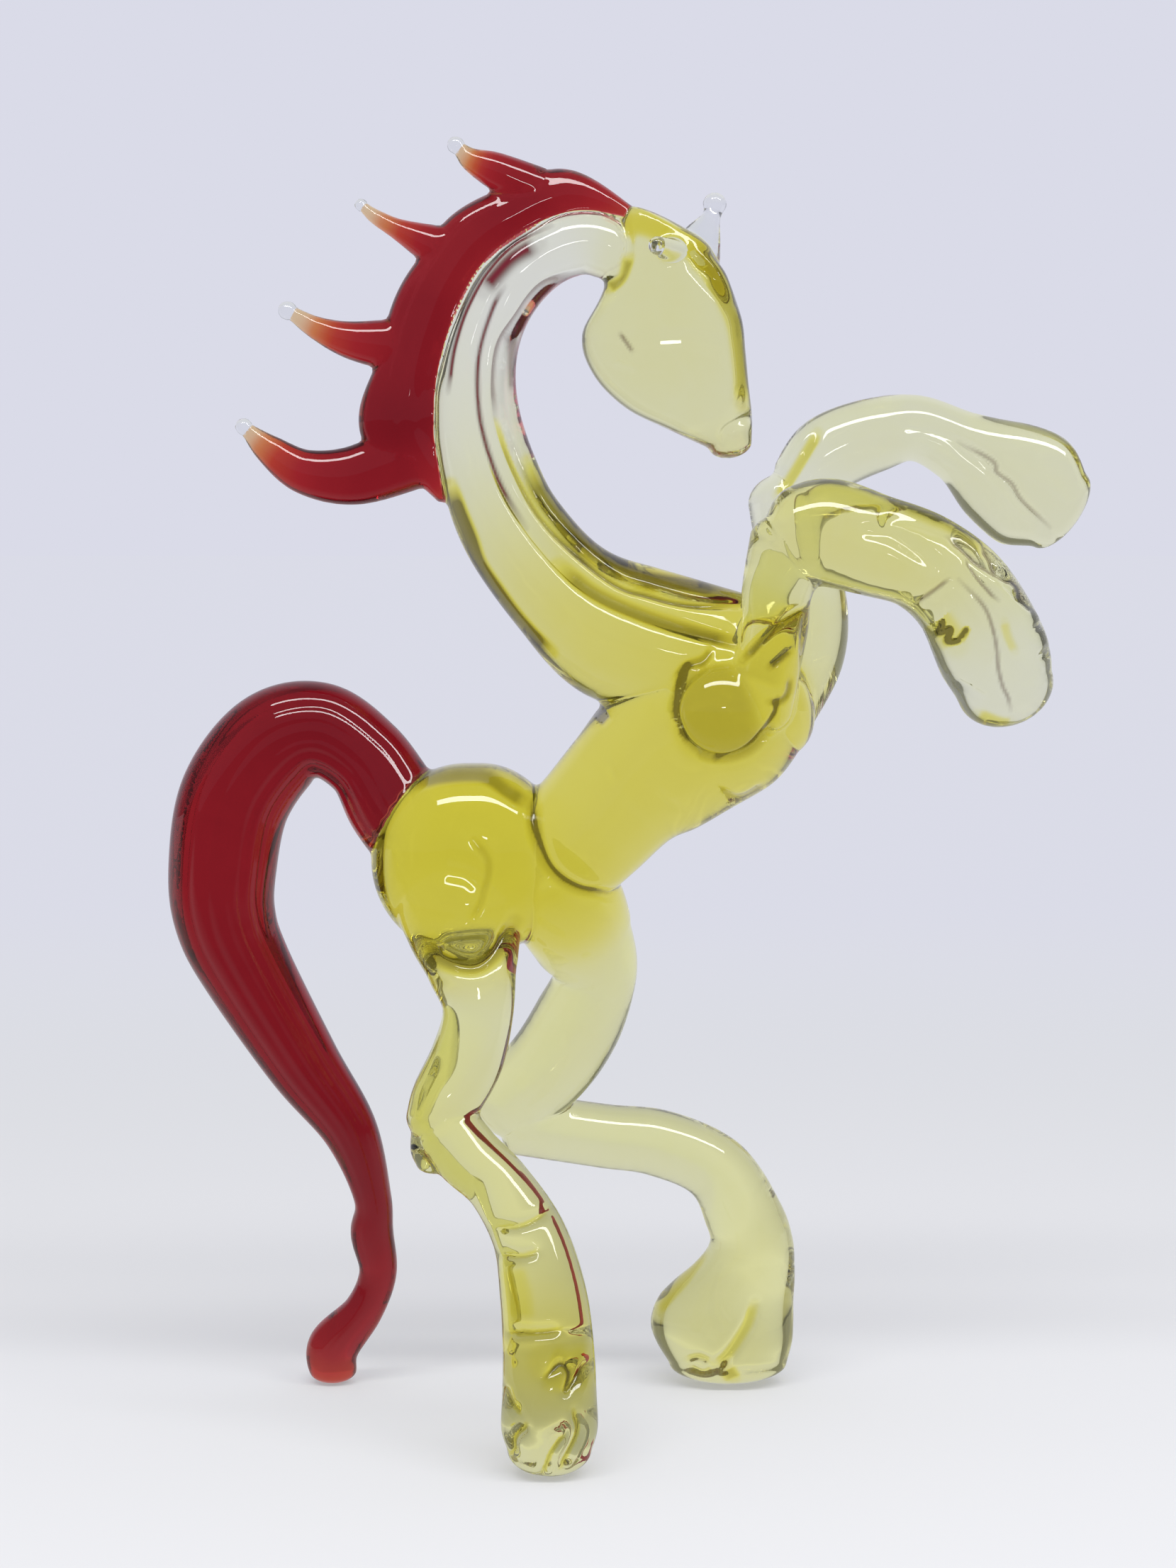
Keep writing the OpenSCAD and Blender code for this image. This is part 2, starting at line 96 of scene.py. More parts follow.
def glass(name, ramp, plain_mm, deepening, cord_share, ripple_mm):
    """Worked solid glass. The tint attribute says how deep its colour is for a ray that crosses
    plain_mm of it; a ray that has gone further inside leaves deeper, by a share for each mm. A second
    attribute says how much dark ruby is mixed in: painted shade in pale folds and flutes, painted red
    lines for the ruby mane seen through the neck, and dark ruby below the mane."""
    mat = bpy.data.materials.new(name)
    mat.use_nodes = True
    tree = mat.node_tree
    tree.nodes.clear()
    place = node(tree, "ShaderNodeTexCoord").outputs["Object"]
    tint = node(tree, "ShaderNodeAttribute", attribute_name="tint").outputs["Fac"]
    cords = node(
        tree, "ShaderNodeTexNoise",
        {"Vector": place, "Scale": 1000 / CORD_MM, "Detail": 3, "Distortion": 1.2},
    )
    uneven = node(tree, MATH, {0: cords.outputs["Fac"], 1: 0.5}, operation="SUBTRACT")
    tint = node(tree, MATH, {0: uneven, 1: cord_share, 2: tint}, operation="MULTIPLY_ADD")
    gain = node(tree, "ShaderNodeLightPath").outputs["Ray Length"]
    gain = node(tree, MATH, {0: gain, 1: 1000 * deepening}, operation="MULTIPLY")
    gain = node(tree, MATH, {0: gain, 1: plain_mm * deepening}, operation="SUBTRACT")
    gain = node(tree, MATH, {0: gain, 1: MOST_GAIN}, operation="MINIMUM")
    inside = node(tree, "ShaderNodeNewGeometry").outputs["Backfacing"]
    tint = node(tree, MATH, {0: gain, 1: inside, 2: tint}, operation="MULTIPLY_ADD")
    tint = node(tree, MATH, {0: tint, 1: 1 / RAMP_END}, operation="MULTIPLY")
    stops = [(at / RAMP_END, linear(code)) for at, code in ramp]
    body = node(tree, "ShaderNodeValToRGB", {"Fac": tint}, stops)
    # How much dark ruby is mixed in: painted shade and painted red lines in pale glass.
    ruby_and_shade = node(tree, "ShaderNodeAttribute", attribute_name="ruby_and_shade").outputs["Fac"]
    # Sockets 6 and 7 are the two colours that are mixed, and output 2 is the mixed colour.
    mixed = {0: ruby_and_shade, 6: body.outputs["Color"], 7: linear(DARK_RUBY)}
    colour = node(tree, "ShaderNodeMix", mixed, data_type="RGBA").outputs[2]
    ripple = node(
        tree, "ShaderNodeTexNoise", {"Vector": place, "Scale": 1000 / RIPPLE_MM, "Detail": 1}
    )
    bump = node(
        tree, "ShaderNodeBump",
        {"Height": ripple.outputs["Fac"], "Strength": 1, "Distance": ripple_mm / 1000},
    )
    shader = node(
        tree, "ShaderNodeBsdfPrincipled",
        {"Base Color": colour, "Normal": bump.outputs["Normal"], "Roughness": 0.0, "IOR": 1.5,
         "Transmission Weight": 1.0},
    )
    node(tree, "ShaderNodeOutputMaterial", {"Surface": shader.outputs["BSDF"]})
    return mat


# Soda-lime glass coloured amber and polished by the flame: a mirror-smooth skin with sharp
# reflections, nearly white at thin edges and a full, slightly green yellow in the thick of it.
YELLOW = [
    (0, "#FFFFF7"), (0.25, "#FBFBD6"), (0.42, "#F7F5B6"), (0.6, "#F5EE8C"), (0.75, "#F2E766"),
    (1, "#ECDF42"), (1.4, "#C2B226"), (2, "#4E430A"),
]
amber_glass = glass(
    "amber soda-lime glass", YELLOW, plain_mm=13, deepening=0.045, cord_share=0.06, ripple_mm=0.01
)

# The seam inside fused glass. The glass on both sides bends light alike, so light passes it unbent.
seam = bpy.data.materials.new("fused seam")
seam.use_nodes = True
seam.node_tree.nodes.clear()
through = node(seam.node_tree, "ShaderNodeBsdfTransparent")
node(seam.node_tree, "ShaderNodeOutputMaterial", {"Surface": through})

# Every limb is a rod of glass drawn along a path: rings of given half width and half depth, set
# square to the path or to an axis of their own, with both ends melted to a dome.
CURVE_STEPS = 16  # steps of the path between two stations
CROWDING = 0.95  # how much closer the rings stand at both ends, for round domes
MERGE_MM = 0.0005  # closes the grid to a tube and each dome to a point
rod = bpy.data.node_groups.new("drawn glass rod", "GeometryNodeTree")
for name, kind in (
    ("Stations", "Geometry"), ("Rings", "Int"), ("Sides", "Int"), ("Start Dome", "Float"),
    ("End Dome", "Float"), ("Section Power", "Float"), ("Material", "Material"),
):
    rod.interface.new_socket(name, in_out="INPUT", socket_type="NodeSocket" + kind)
rod.interface.new_socket("Rod", in_out="OUTPUT", socket_type="NodeSocketGeometry")
given = node(rod, "NodeGroupInput").outputs
path = node(rod, "GeometryNodeMeshToCurve", {"Mesh": given["Stations"]})
path = node(rod, "GeometryNodeCurveSplineType", {"Curve": path}, spline_type="CATMULL_ROM")
path = node(rod, "GeometryNodeSetSplineResolution", {"Geometry": path, "Resolution": CURVE_STEPS})
length = node(rod, "GeometryNodeCurveLength", {"Curve": path})
columns = node(rod, MATH, {0: given["Sides"], 1: 1}, operation="ADD")
grid = node(
    rod, "GeometryNodeMeshGrid",
    {"Size X": 1.0, "Size Y": 1.0, "Vertices X": given["Rings"], "Vertices Y": columns},
)
flat = node(rod, "ShaderNodeSeparateXYZ", {0: node(rod, "GeometryNodeInputPosition")}).outputs
share = node(rod, MATH, {0: flat["X"], 1: 0.5}, operation="ADD")
turn = node(rod, MATH, {0: flat["Y"], 1: 0.5}, operation="ADD")
turn = node(rod, MATH, {0: turn, 1: 2 * math.pi}, operation="MULTIPLY")

# Where each ring stands along the path, and how far past its end.
whole = node(rod, MATH, {0: length, 1: given["Start Dome"]}, operation="ADD")
whole = node(rod, MATH, {0: whole, 1: given["End Dome"]}, operation="ADD")
crowd = node(rod, MATH, {0: share, 1: 2 * math.pi}, operation="MULTIPLY")
crowd = node(rod, MATH, {0: crowd}, operation="SINE")
crowd = node(rod, MATH, {0: crowd, 1: -CROWDING / (2 * math.pi)}, operation="MULTIPLY")
along = node(rod, MATH, {0: share, 1: crowd}, operation="ADD")
along = node(rod, MATH, {0: along, 1: whole}, operation="MULTIPLY")
along = node(rod, MATH, {0: along, 1: given["Start Dome"]}, operation="SUBTRACT")
held = node(rod, MATH, {0: along, 1: 0.0}, operation="MAXIMUM")
held = node(rod, MATH, {0: held, 1: length}, operation="MINIMUM")
past = node(rod, MATH, {0: along, 1: held}, operation="SUBTRACT")
before = node(rod, MATH, {0: past, 1: -1.0}, operation="MULTIPLY")
before = node(rod, MATH, {0: before, 1: given["Start Dome"]}, operation="DIVIDE")
beyond = node(rod, MATH, {0: past, 1: given["End Dome"]}, operation="DIVIDE")
beyond = node(rod, MATH, {0: before, 1: beyond}, operation="MAXIMUM")
dome = node(rod, MATH, {0: beyond, 1: beyond}, operation="MULTIPLY")
dome = node(rod, MATH, {0: 1.0, 1: dome}, operation="SUBTRACT")
dome = node(rod, MATH, {0: dome, 1: 0.0}, operation="MAXIMUM")
dome = node(rod, MATH, {0: dome}, operation="SQRT")
sampled = {}
for name, kind in (
    ("half_width", "FLOAT"), ("half_depth", "FLOAT"), ("tint", "FLOAT"), ("axis", "FLOAT_VECTOR"),
):
    value = node(rod, "GeometryNodeInputNamedAttribute", {"Name": name}, data_type=kind)
    sampled[name] = node(
        rod, "GeometryNodeSampleCurve",
        {"Curves": path, "Value": value.outputs["Attribute"], "Length": held},
        mode="LENGTH", data_type=kind,
    ).outputs

# The three directions of each ring; an axis of no length leaves it square to the path.
size = node(rod, VECTOR, {0: sampled["axis"]["Value"]}, operation="LENGTH").outputs["Value"]
own = node(rod, "FunctionNodeCompare", {0: size, 1: 0.5}, data_type="FLOAT", operation="GREATER_THAN")
heading = node(
    rod, "GeometryNodeSwitch",
    {"Switch": own, "False": sampled["tint"]["Tangent"], "True": sampled["axis"]["Value"]},
    input_type="VECTOR",
)
heading = node(rod, VECTOR, {0: heading}, operation="NORMALIZE")
lean = node(rod, VECTOR, {0: heading, 1: (0, 1, 0)}, operation="DOT_PRODUCT").outputs["Value"]
lean = node(rod, VECTOR, {0: heading, "Scale": lean}, operation="SCALE")
across = node(rod, VECTOR, {0: (0, 1, 0), 1: lean}, operation="SUBTRACT")
across = node(rod, VECTOR, {0: across}, operation="NORMALIZE")
upward = node(rod, VECTOR, {0: across, 1: heading}, operation="CROSS_PRODUCT")
offsets = []
for wave, size, way in (("COSINE", "half_width", upward), ("SINE", "half_depth", across)):
    swing = node(rod, MATH, {0: turn}, operation=wave)
    sign = node(rod, MATH, {0: swing}, operation="SIGN")
    swing = node(rod, MATH, {0: swing}, operation="ABSOLUTE")
    swing = node(rod, MATH, {0: swing, 1: given["Section Power"]}, operation="POWER")
    for factor in (sign, dome, sampled[size]["Value"]):
        swing = node(rod, MATH, {0: swing, 1: factor}, operation="MULTIPLY")
    offsets.append(node(rod, VECTOR, {0: way, "Scale": swing}, operation="SCALE"))
offset = node(rod, VECTOR, {0: offsets[0], 1: offsets[1]}, operation="ADD")
spot = node(rod, VECTOR, {0: heading, "Scale": past}, operation="SCALE")
spot = node(rod, VECTOR, {0: sampled["tint"]["Position"], 1: spot}, operation="ADD")
spot = node(rod, VECTOR, {0: spot, 1: offset}, operation="ADD")
made = grid
for name, value in (("along", along), ("tint", sampled["tint"]["Value"])):
    made = node(
        rod, "GeometryNodeStoreNamedAttribute", {"Geometry": made, "Name": name, "Value": value},
        data_type="FLOAT", domain="POINT",
    )
made = node(rod, "GeometryNodeSetPosition", {"Geometry": made, "Position": spot})
made = node(rod, "GeometryNodeMergeByDistance", {"Geometry": made, "Distance": MERGE_MM})
made = node(rod, "GeometryNodeRealizeInstances", {"Geometry": made})
made = node(rod, "GeometryNodeSetMaterial", {"Geometry": made, "Material": given["Material"]})
node(rod, "NodeGroupOutput", {"Rod": made})

pieces = []  # one row per piece: CAD node, material, slot
drawn = []  # one row per rod: points, faces, tint, piece of each face
marks = []  # one row per tool mark: pieces, line of (x, z), half width, depth, side, tinge, blush
SIDES = 64  # facets round a rod
RING_MM = 0.2  # spacing of the rings along a rod, before they are crowded to its ends
DOME_RINGS = 24  # rings added for the two domes


def draw(parts, stations, ends, material, slot, section=2.0, axes=None):
    """Draws a rod through stations [x, y, z, half width, half depth, tint] and files its pieces.
    parts: (CAD node, station at which it starts) from one end to the other. ends: length of the
    dome at each end. section: 2 for an oval, more for a squarer one. axes: tilt of each ring."""
    line = bpy.data.meshes.new("stations")
    line.from_pydata([s[:3] for s in stations], [(i, i + 1) for i in range(len(stations) - 1)], [])
    for column, name in ((3, "half_width"), (4, "half_depth"), (5, "tint")):
        values = [s[column] for s in stations]
        line.attributes.new(name, "FLOAT", "POINT").data.foreach_set("value", values)
    tilts = [(0, 0, 0)] * len(stations)
    if axes:
        tilts = [(math.sin(math.radians(t)), 0, -math.cos(math.radians(t))) for t in axes]
    axis = line.attributes.new("axis", "FLOAT_VECTOR", "POINT").data
    axis.foreach_set("vector", np.array(tilts, float).ravel())
    maker = bpy.data.objects.new("rod", line)
    scene.collection.objects.link(maker)
    modifier = maker.modifiers.new("rod", "NODES")
    modifier.node_group = rod
    reached = [0.0]
    for a, b in zip(stations, stations[1:]):
        reached.append(reached[-1] + math.dist(a[:3], b[:3]))
    values = {
        "Rings": int((reached[-1] + sum(ends)) / RING_MM) + DOME_RINGS, "Sides": SIDES,
        "Start Dome": ends[0], "End Dome": ends[1], "Section Power": 2.0 / section,
        "Material": material,
    }
    for item in rod.interface.items_tree:
        if item.name in values:
            modifier[item.identifier] = values[item.name]
    seen = maker.evaluated_get(bpy.context.evaluated_depsgraph_get())
    shape = bpy.data.meshes.new_from_object(seen)
    bpy.data.objects.remove(maker)
    points = np.array([v.co for v in shape.vertices])
    faces = [tuple(p.vertices) for p in shape.polygons]
    at = {name: np.empty(len(points)) for name in ("along", "tint")}
    for name, values in at.items():
        shape.attributes[name].data.foreach_get("value", values)
    filed = [name for name, _, _ in pieces]
    pieces.extend((name, material, slot) for name, _ in parts if name not in filed)
    filed = [name for name, _, _ in pieces]
    starts = [reached[start] if start else -math.inf for _, start in parts]
    owner = []
    for face in faces:
        part = int(np.searchsorted(starts, at["along"][list(face)].mean(), "right")) - 1
        owner.append(filed.index(parts[part][0]))
    drawn.append((points, faces, at["tint"], owner))


NEAR, FAR, BOTH = (-1,), (1,), (-1, 1)  # sides on which a tool is pressed; -1 faces the viewer


def press(names, line, width, depth, sides=NEAR, shade_and_tinge=0.0, ruby_and_shade=0.0):
    """Files a fold pressed into the hot glass along a line seen from the side, width its half width.
    tinge deepens the tint along it: painted shade in creases and along edges, and deeper yellow
    where glass is gathered. blush mixes dark ruby into it: painted shade in pale folds, painted red
    lines for the ruby mane seen through the neck, and dark ruby below the mane. A fold whose depth
    is about two thirds of its half width mirrors the lamp overhead in its flank."""
    marks.extend((names, line, width, depth, side, shade_and_tinge, ruby_and_shade) for side in sides)


def comb(name, stations, shares, width, depth):
    """Files one groove for each share of the half width, along the whole rod, on both sides."""
    at = np.array(stations)
    heading = np.gradient(at[:, [0, 2]], axis=0)
    heading /= np.linalg.norm(heading, axis=1, keepdims=True)
    square = np.stack([heading[:, 1], -heading[:, 0]], axis=1)
    for share in shares:
        press([name], at[:, [0, 2]] + share * at[:, 3:4] * square, width, depth, BOTH)


draw(
    [("haunch", 0)],
    [
        (-14.2, MID, 50.5, 8.5, 6.8, 1.0),
        (-13.6, MID, 50.5, 8.5, 6.8, 1.0),
        (-13.0, MID, 50.5, 8.5, 6.8, 1.0),
    ],
    (8.5, 7.4), amber_glass, "amber_glass", section=2.5,
)
# The hip's crease with a little painted shade in it, a groove that mirrors the lamp, and painted shade
# along the top of the haunch, where the glass bends light away.
HIP = [(-13.4, 52.9), (-12.1, 50.9), (-12.6, 48.0), (-13.5, 46.1)]
GLINT = [(-16.0, 50.3), (-15.3, 50.2), (-13.9, 49.8), (-12.6, 48.7)]
CROUP = [(-18.6, 57.6), (-16.2, 58.2), (-12.7, 58.3), (-10.5, 57.0), (-8.8, 55.9)]
press(["haunch", "near_thigh"], HIP, 0.35, 0.25, shade_and_tinge=0.3)
press(["haunch", "near_thigh"], GLINT, 0.9, 0.52)
press(["haunch"], CROUP, 0.6, 0.2, shade_and_tinge=0.8)

# Barrel and chest. A second gather of amber glass, necked down at the waist and fused to the haunch
# at a crisp crease; the breast is left round. The chest carries the neck and the fore legs.
draw(
    [("barrel", 0), ("chest", 4)],
    [
        (-5.4, MID, 51.6, 5.6, 6.1, 0.85),
        (-3.1, MID, 53.8, 5.75, 6.0, 0.8),
        (-0.4, MID, 56.7, 6.1, 5.9, 0.8),
        (2.0, MID, 58.8, 6.9, 6.0, 0.8),
        (5.2, MID, 61.2, 7.3, 6.3, 0.8),
        (8.6, MID, 63.3, 7.35, 6.4, 0.8),
        (11.2, MID, 65.2, 6.4, 5.6, 0.78),
    ],
    (4.6, 4.5), amber_glass, "amber_glass", section=2.15,
)
# Small creases of the belly, the breast and the withers; painted shade darkens the breast's crease
# and the notch at the withers.
press(["barrel", "chest"], [(2.4, 57.4), (3.4, 56.3), (4.4, 55.5)], 0.4, 0.3)
press(["barrel", "chest"], [(-1.7, 59.4), (-1.1, 58.0)], 0.35, 0.25)
press(["chest"], [(7.4, 57.2), (9.8, 56.1), (12.0, 57.2)], 0.5, 0.35, shade_and_tinge=0.7)
press(["barrel", "chest", "neck"], [(-3.2, 63.2), (-2.3, 64.2)], 0.9, 0.65, shade_and_tinge=1.6)
# The crease at which the barrel is fused to the haunch, with painted shade along it and a thin
# line of deeper painted shade in its middle.
WAIST = [(-8.3, 56.2), (-8.0, 53.1), (-6.8, 50.2), (-4.4, 48.4), (-1.5, 47.7)]
press(["haunch", "barrel", "far_thigh"], WAIST, 0.6, 0.45, shade_and_tinge=0.5)
press(["haunch", "barrel", "far_thigh"], WAIST, 0.2, 0.1, shade_and_tinge=1.0)

# Neck. A thick rod of paler glass, fused to the top of the chest, arched over while soft and drawn
# thin towards the poll. A blade drew long flutes down it; thin painted red lines along them stand
# for the ruby mane seen through the glass, and painted shade darkens its edges and flutes.
# Its glass is the same yellow, but thinner: the eye sees pale straw with bright, crisp flutes.
straw_glass = glass(
    "straw soda-lime glass", YELLOW, plain_mm=7, deepening=0.05, cord_share=0.06, ripple_mm=0.01
)
draw(
    [("neck", 0)],
    [
        (10.0, MID, 67.5, 6.3, 5.8, 0.75),
        (4.5, MID, 69.0, 6.4, 5.8, 0.66),
        (-1.3, MID, 70.9, 6.3, 5.5, 0.58),
        (-6.0, MID, 74.5, 5.1, 4.9, 0.55),
        (-10.0, MID, 79.5, 4.65, 4.4, 0.42),
        (-12.0, MID, 84.0, 4.3, 4.05, 0.3),
        (-13.2, MID, 89.0, 3.85, 3.6, 0.22),
        (-13.2, MID, 93.5, 3.4, 3.25, 0.18),
        (-12.2, MID, 97.5, 3.15, 3.15, 0.14),
        (-10.2, MID, 101.0, 3.1, 3.1, 0.12),
        (-7.2, MID, 103.5, 2.9, 2.9, 0.14),
        (-4.0, MID, 104.5, 2.8, 2.8, 0.2),
        (-1.5, MID, 104.0, 2.8, 2.8, 0.35),
    ],
    (3.0, 1.8), straw_glass, "straw_glass",
)
# The flutes. Each is a groove with a thin line of painted shade in it, some in dark ruby that
# stands for the red mane seen through the glass, the rest in deeper yellow.
OUTER_FLUTE = (
    (-6.7, 105.8), (-9.8, 104.5), (-12.4, 101.9), (-14.2, 98.8), (-15.2, 95.8), (-15.6, 93.5),
    (-15.7, 91.5),
)
MIDDLE_FLUTE = (
    (-10.8, 100.5), (-11.8, 98.7), (-12.9, 95.0), (-13.0, 91.4), (-12.5, 88.0), (-11.0, 83.8), (-8.7, 80.0),
    (-6.0, 76.8), (-2.8, 74.3), (1.4, 72.4), (5.6, 71.0), (9.6, 69.8),
)
INNER_FLUTE = (
    (-4.0, 101.8), (-7.3, 100.5), (-9.5, 97.6), (-10.9, 95.4), (-11.3, 92.5), (-11.1, 89.3), (-9.9, 85.7),
    (-7.7, 81.5), (-4.9, 78.4), (-1.1, 75.4), (1.6, 74.4), (5.6, 73.4), (9.6, 73.1),
)
press(["neck"], OUTER_FLUTE, 0.5, 0.32)
press(["neck"], OUTER_FLUTE, 0.25, 0.0, ruby_and_shade=1.0)
press(["neck"], MIDDLE_FLUTE, 1.6, 0.5)
press(["neck"], MIDDLE_FLUTE, 0.42, 0.9)
press(["neck"], INNER_FLUTE, 0.42, 0.9)
press(["neck"], INNER_FLUTE[:6], 0.22, 0.0, ruby_and_shade=0.8)
press(["neck"], INNER_FLUTE[5:], 0.22, 0.0, shade_and_tinge=1.3)
press(["neck"], MIDDLE_FLUTE[:7], 0.32, 0.0, ruby_and_shade=1.0)
press(["neck", "chest"], MIDDLE_FLUTE[7:], 0.7, 0.3, shade_and_tinge=1.2)
# Painted shade: deeper yellow along the throat and dark olive along the nape, inside the edges of the neck.
THROAT = (
    (-8.6, 85.6), (-7.1, 82.5), (-3.9, 78.7), (-1.3, 76.9), (1.6, 75.5), (5.6, 74.7), (9.8, 74.0),
)
NAPE = (
    (-15.5, 83.5), (-14.8, 81.4), (-13.8, 78.9), (-13.0, 76.6), (-11.5, 74.3), (-10.0, 72.2),
    (-8.3, 70.3), (-6.8, 69.0),
)
press(["neck"], THROAT, 0.7, 0.0, BOTH, shade_and_tinge=1.5)
press(["neck"], NAPE, 0.7, 0.0, BOTH, shade_and_tinge=2.0)
# Dark ruby mixed in below the mane, and a short line of painted shade down the neck.
press(["neck"], [(-12.6, 100.3), (-11.2, 101.9), (-9.9, 103.1), (-7.9, 104.2)], 0.9, 0.0, ruby_and_shade=1.0)
press(["neck"], [(-9.9, 96.5), (-10.1, 94.0), (-10.0, 91.5)], 0.4, 0.0, BOTH, ruby_and_shade=0.8)

# Head. A drop of straw glass pressed flat between paddles, pulled to a blunt muzzle, fused over the
# rounded end of the neck. Its flat cheeks show the background almost undistorted.
draw(
    [("head", 0)],
    [
        (3.6, MID, 105.5, 4.1, 2.5, 0.45),
        (3.3, MID, 101.0, 5.4, 3.6, 0.42),
        (2.9, MID, 97.2, 7.0, 4.2, 0.38),
        (3.6, MID, 94.0, 6.7, 4.2, 0.38),
        (5.2, MID, 91.0, 5.4, 3.7, 0.38),
        (7.2, MID, 88.8, 3.65, 2.9, 0.42),
        (8.9, MID, 87.0, 1.9, 1.9, 0.5),
    ],
    (0.8, 1.2), straw_glass, "straw_glass", section=2.7, axes=(-28, 3, 6, 9, 10, 9, 10),
)
# The fused edge of the jowl, the edge of the flat cheek, and painted shade: deeper yellow along the
# profile, the top of the head and the seam to the neck, where light runs long inside the glass, and
# a short dark dash on the cheek.
JOWL = [(-2.2, 106.9), (-0.9, 106.4), (-0.2, 105.1), (-0.1, 103.6), (-0.6, 102.2), (-1.5, 100.5)]
FACE = (
    (3.9, 104.0), (6.9, 101.9), (7.6, 100.8), (9.0, 98.0), (9.3, 96.3), (9.6, 94.1), (9.7, 91.9),
    (9.1, 90.4),
)
PROFILE = (
    (4.3, 104.9), (7.1, 102.9), (8.3, 100.6), (9.6, 97.8), (10.1, 95.5), (10.4, 92.6), (10.3, 90.6),
)
press(["head", "neck"], JOWL, 0.45, 0.5)
press(["head"], FACE, 0.45, 0.4, BOTH)
press(["head"], PROFILE, 1.2, 0.0, BOTH, shade_and_tinge=1.1)
press(["head"], [(-1.5, 106.0), (1.5, 105.8), (3.5, 104.8)], 1.0, 0.0, BOTH, shade_and_tinge=0.5)
press(["head"], [(5.3, 102.9), (6.7, 101.3), (8.2, 99.9), (9.4, 98.6)], 0.6, 0.5)
press(["head"], [(-0.8, 96.5), (0.3, 94.9)], 0.2, 0.15, ruby_and_shade=0.8)
press(["head"], [(-1.4, 94.0), (0.6, 93.4)], 0.35, 0.3)
press(["head", "neck"], [(-1.8, 100.4), (-0.7, 101.3), (0.0, 103.1)], 0.5, 0.0, shade_and_tinge=1.2)
press(["head"], [(10.7, 89.4), (9.6, 88.9), (8.6, 88.3), (8.3, 87.8), (8.7, 87.3)], 0.4, 0.5)

# Ears. Drops of colourless glass, touched hot to the poll, pulled out and burned off, so each ends
# in a bead. The near one points at the viewer. The eye sees only their bright and grey edges.
CLEAR = [(0, "#FCFDFD"), (1, "#EEF3F1"), (2, "#D8E0DC")]
clear_glass = glass(
    "clear soda-lime glass", CLEAR, plain_mm=2, deepening=0.05, cord_share=0.1, ripple_mm=0.01
)
draw(
    [("far_ear", 0)],
    [
        (5.6, MID + 1.0, 103.2, 2.6, 1.7, 0.5),
        (6.6, MID + 2.2, 105.3, 1.6, 1.2, 0.2),
        (7.3, MID + 3.0, 106.9, 0.82, 0.82, 0.1),
        (7.6, MID + 3.5, 108.0, 1.05, 1.05, 0.0),
    ],
    (0.5, 1.05), clear_glass, "clear_glass",
)
draw(
    [("near_ear", 0)],
    [
        (4.3, MID - 1.6, 103.2, 1.5, 1.4, 0.6),
        (3.3, MID - 3.6, 103.7, 0.95, 0.85, 0.5),
        (2.4, MID - 4.8, 103.9, 0.8, 0.8, 0.3),
    ],
    (0.5, 0.8), clear_glass, "clear_glass",
)

# Mane. A strip of ruby glass melted on along the back of the neck. Four locks are pulled out of it
# with tweezers; each ends in a colourless bead where it was burned off. The ruby is a deep, dark
# red where it is thick and thins to orange.
RUBY = [
    (0, "#F7EFE2"), (0.2, "#F0BC7C"), (0.4, "#DD6A3A"), (0.65, "#BE2C30"), (1, "#931420"),
    (1.4, "#5A0812"), (2, "#2A0408"),
]
red_glass = glass(
    "ruby red glass", RUBY, plain_mm=5, deepening=0.08, cord_share=0.1, ripple_mm=0.02
)
CREST = [
    (0.0, MID, 107.0, 0.7, 1.1, 0.75),
    (-5.5, MID, 108.7, 2.1, 2.0, 0.9),
    (-10.2, MID, 106.9, 2.4, 2.2, 1.0),
    (-13.6, MID, 104.8, 2.7, 2.2, 0.93),
    (-15.8, MID, 102.0, 2.7, 2.2, 0.93),
    (-17.6, MID, 98.6, 3.0, 2.2, 1.0),
    (-19.2, MID, 93.3, 3.0, 2.2, 1.0),
    (-19.8, MID, 88.5, 3.7, 2.2, 1.1),
    (-17.7, MID, 85.0, 1.7, 1.8, 0.9),
    (-16.2, MID, 82.5, 0.7, 1.1, 0.75),
]
draw([("mane_crest", 0)], CREST, (0.5, 0.5), red_glass, "red_glass")
comb("mane_crest", CREST, (-0.5, 0.0, 0.45), 0.5, 0.08)
BEADS = (0.75, 0.56, 0.82, 0.75)  # half width of each lock's bead
LOCKS = (
    (
        (-8.0, -0.3, 109.0, 2.0, 1.85, 1.0),
        (-11.6, -0.7, 110.6, 1.6, 1.65, 0.85),
        (-13.6, -0.9, 111.5, 1.05, 1.1, 0.4),
        (-14.6, -1.0, 112.4, 0.6, 0.62, 0.1),
    ),
    (
        (-16.5, 0.0, 104.0, 2.0, 1.85, 1.0),
        (-20.0, 0.3, 105.6, 0.95, 1.1, 0.6),
        (-22.0, 0.5, 106.7, 0.65, 0.75, 0.3),
        (-23.0, 0.6, 107.5, 0.45, 0.55, 0.1),
    ),
    (
        (-19.5, 0.0, 95.5, 2.5, 1.85, 1.0),
        (-24.0, -0.3, 96.0, 1.7, 1.55, 0.8),
        (-27.0, -0.5, 97.0, 1.05, 1.0, 0.45),
        (-29.2, -0.6, 98.3, 0.6, 0.62, 0.1),
    ),
    (
        (-19.0, 0.0, 86.0, 3.0, 2.0, 1.0),
        (-24.0, 0.3, 84.3, 2.6, 1.75, 1.0),
        (-28.3, 0.5, 84.6, 2.0, 1.55, 0.85),
        (-31.4, 0.6, 86.5, 1.35, 1.1, 0.55),
        (-33.3, 0.6, 88.2, 0.65, 0.62, 0.12),
    ),
)
for number, (lock, bead) in enumerate(zip(LOCKS, BEADS), 1):
    lock = [(x, MID + y, z, w, d, t) for x, y, z, w, d, t in lock]
    draw([(f"mane_lock_{number}", 0)], lock, (0.5, 0.5), red_glass, "red_glass")
    tip, before = Vector(lock[-1][:3]), Vector(lock[-2][:3])
    ahead = (tip - before).normalized()
    ball = [(*(tip + ahead * reach), bead, bead, 0.0) for reach in (0.64 * bead, 0.66 * bead)]
    draw([(f"mane_tip_{number}", 0)], ball, (bead, bead), clear_glass, "clear_glass")

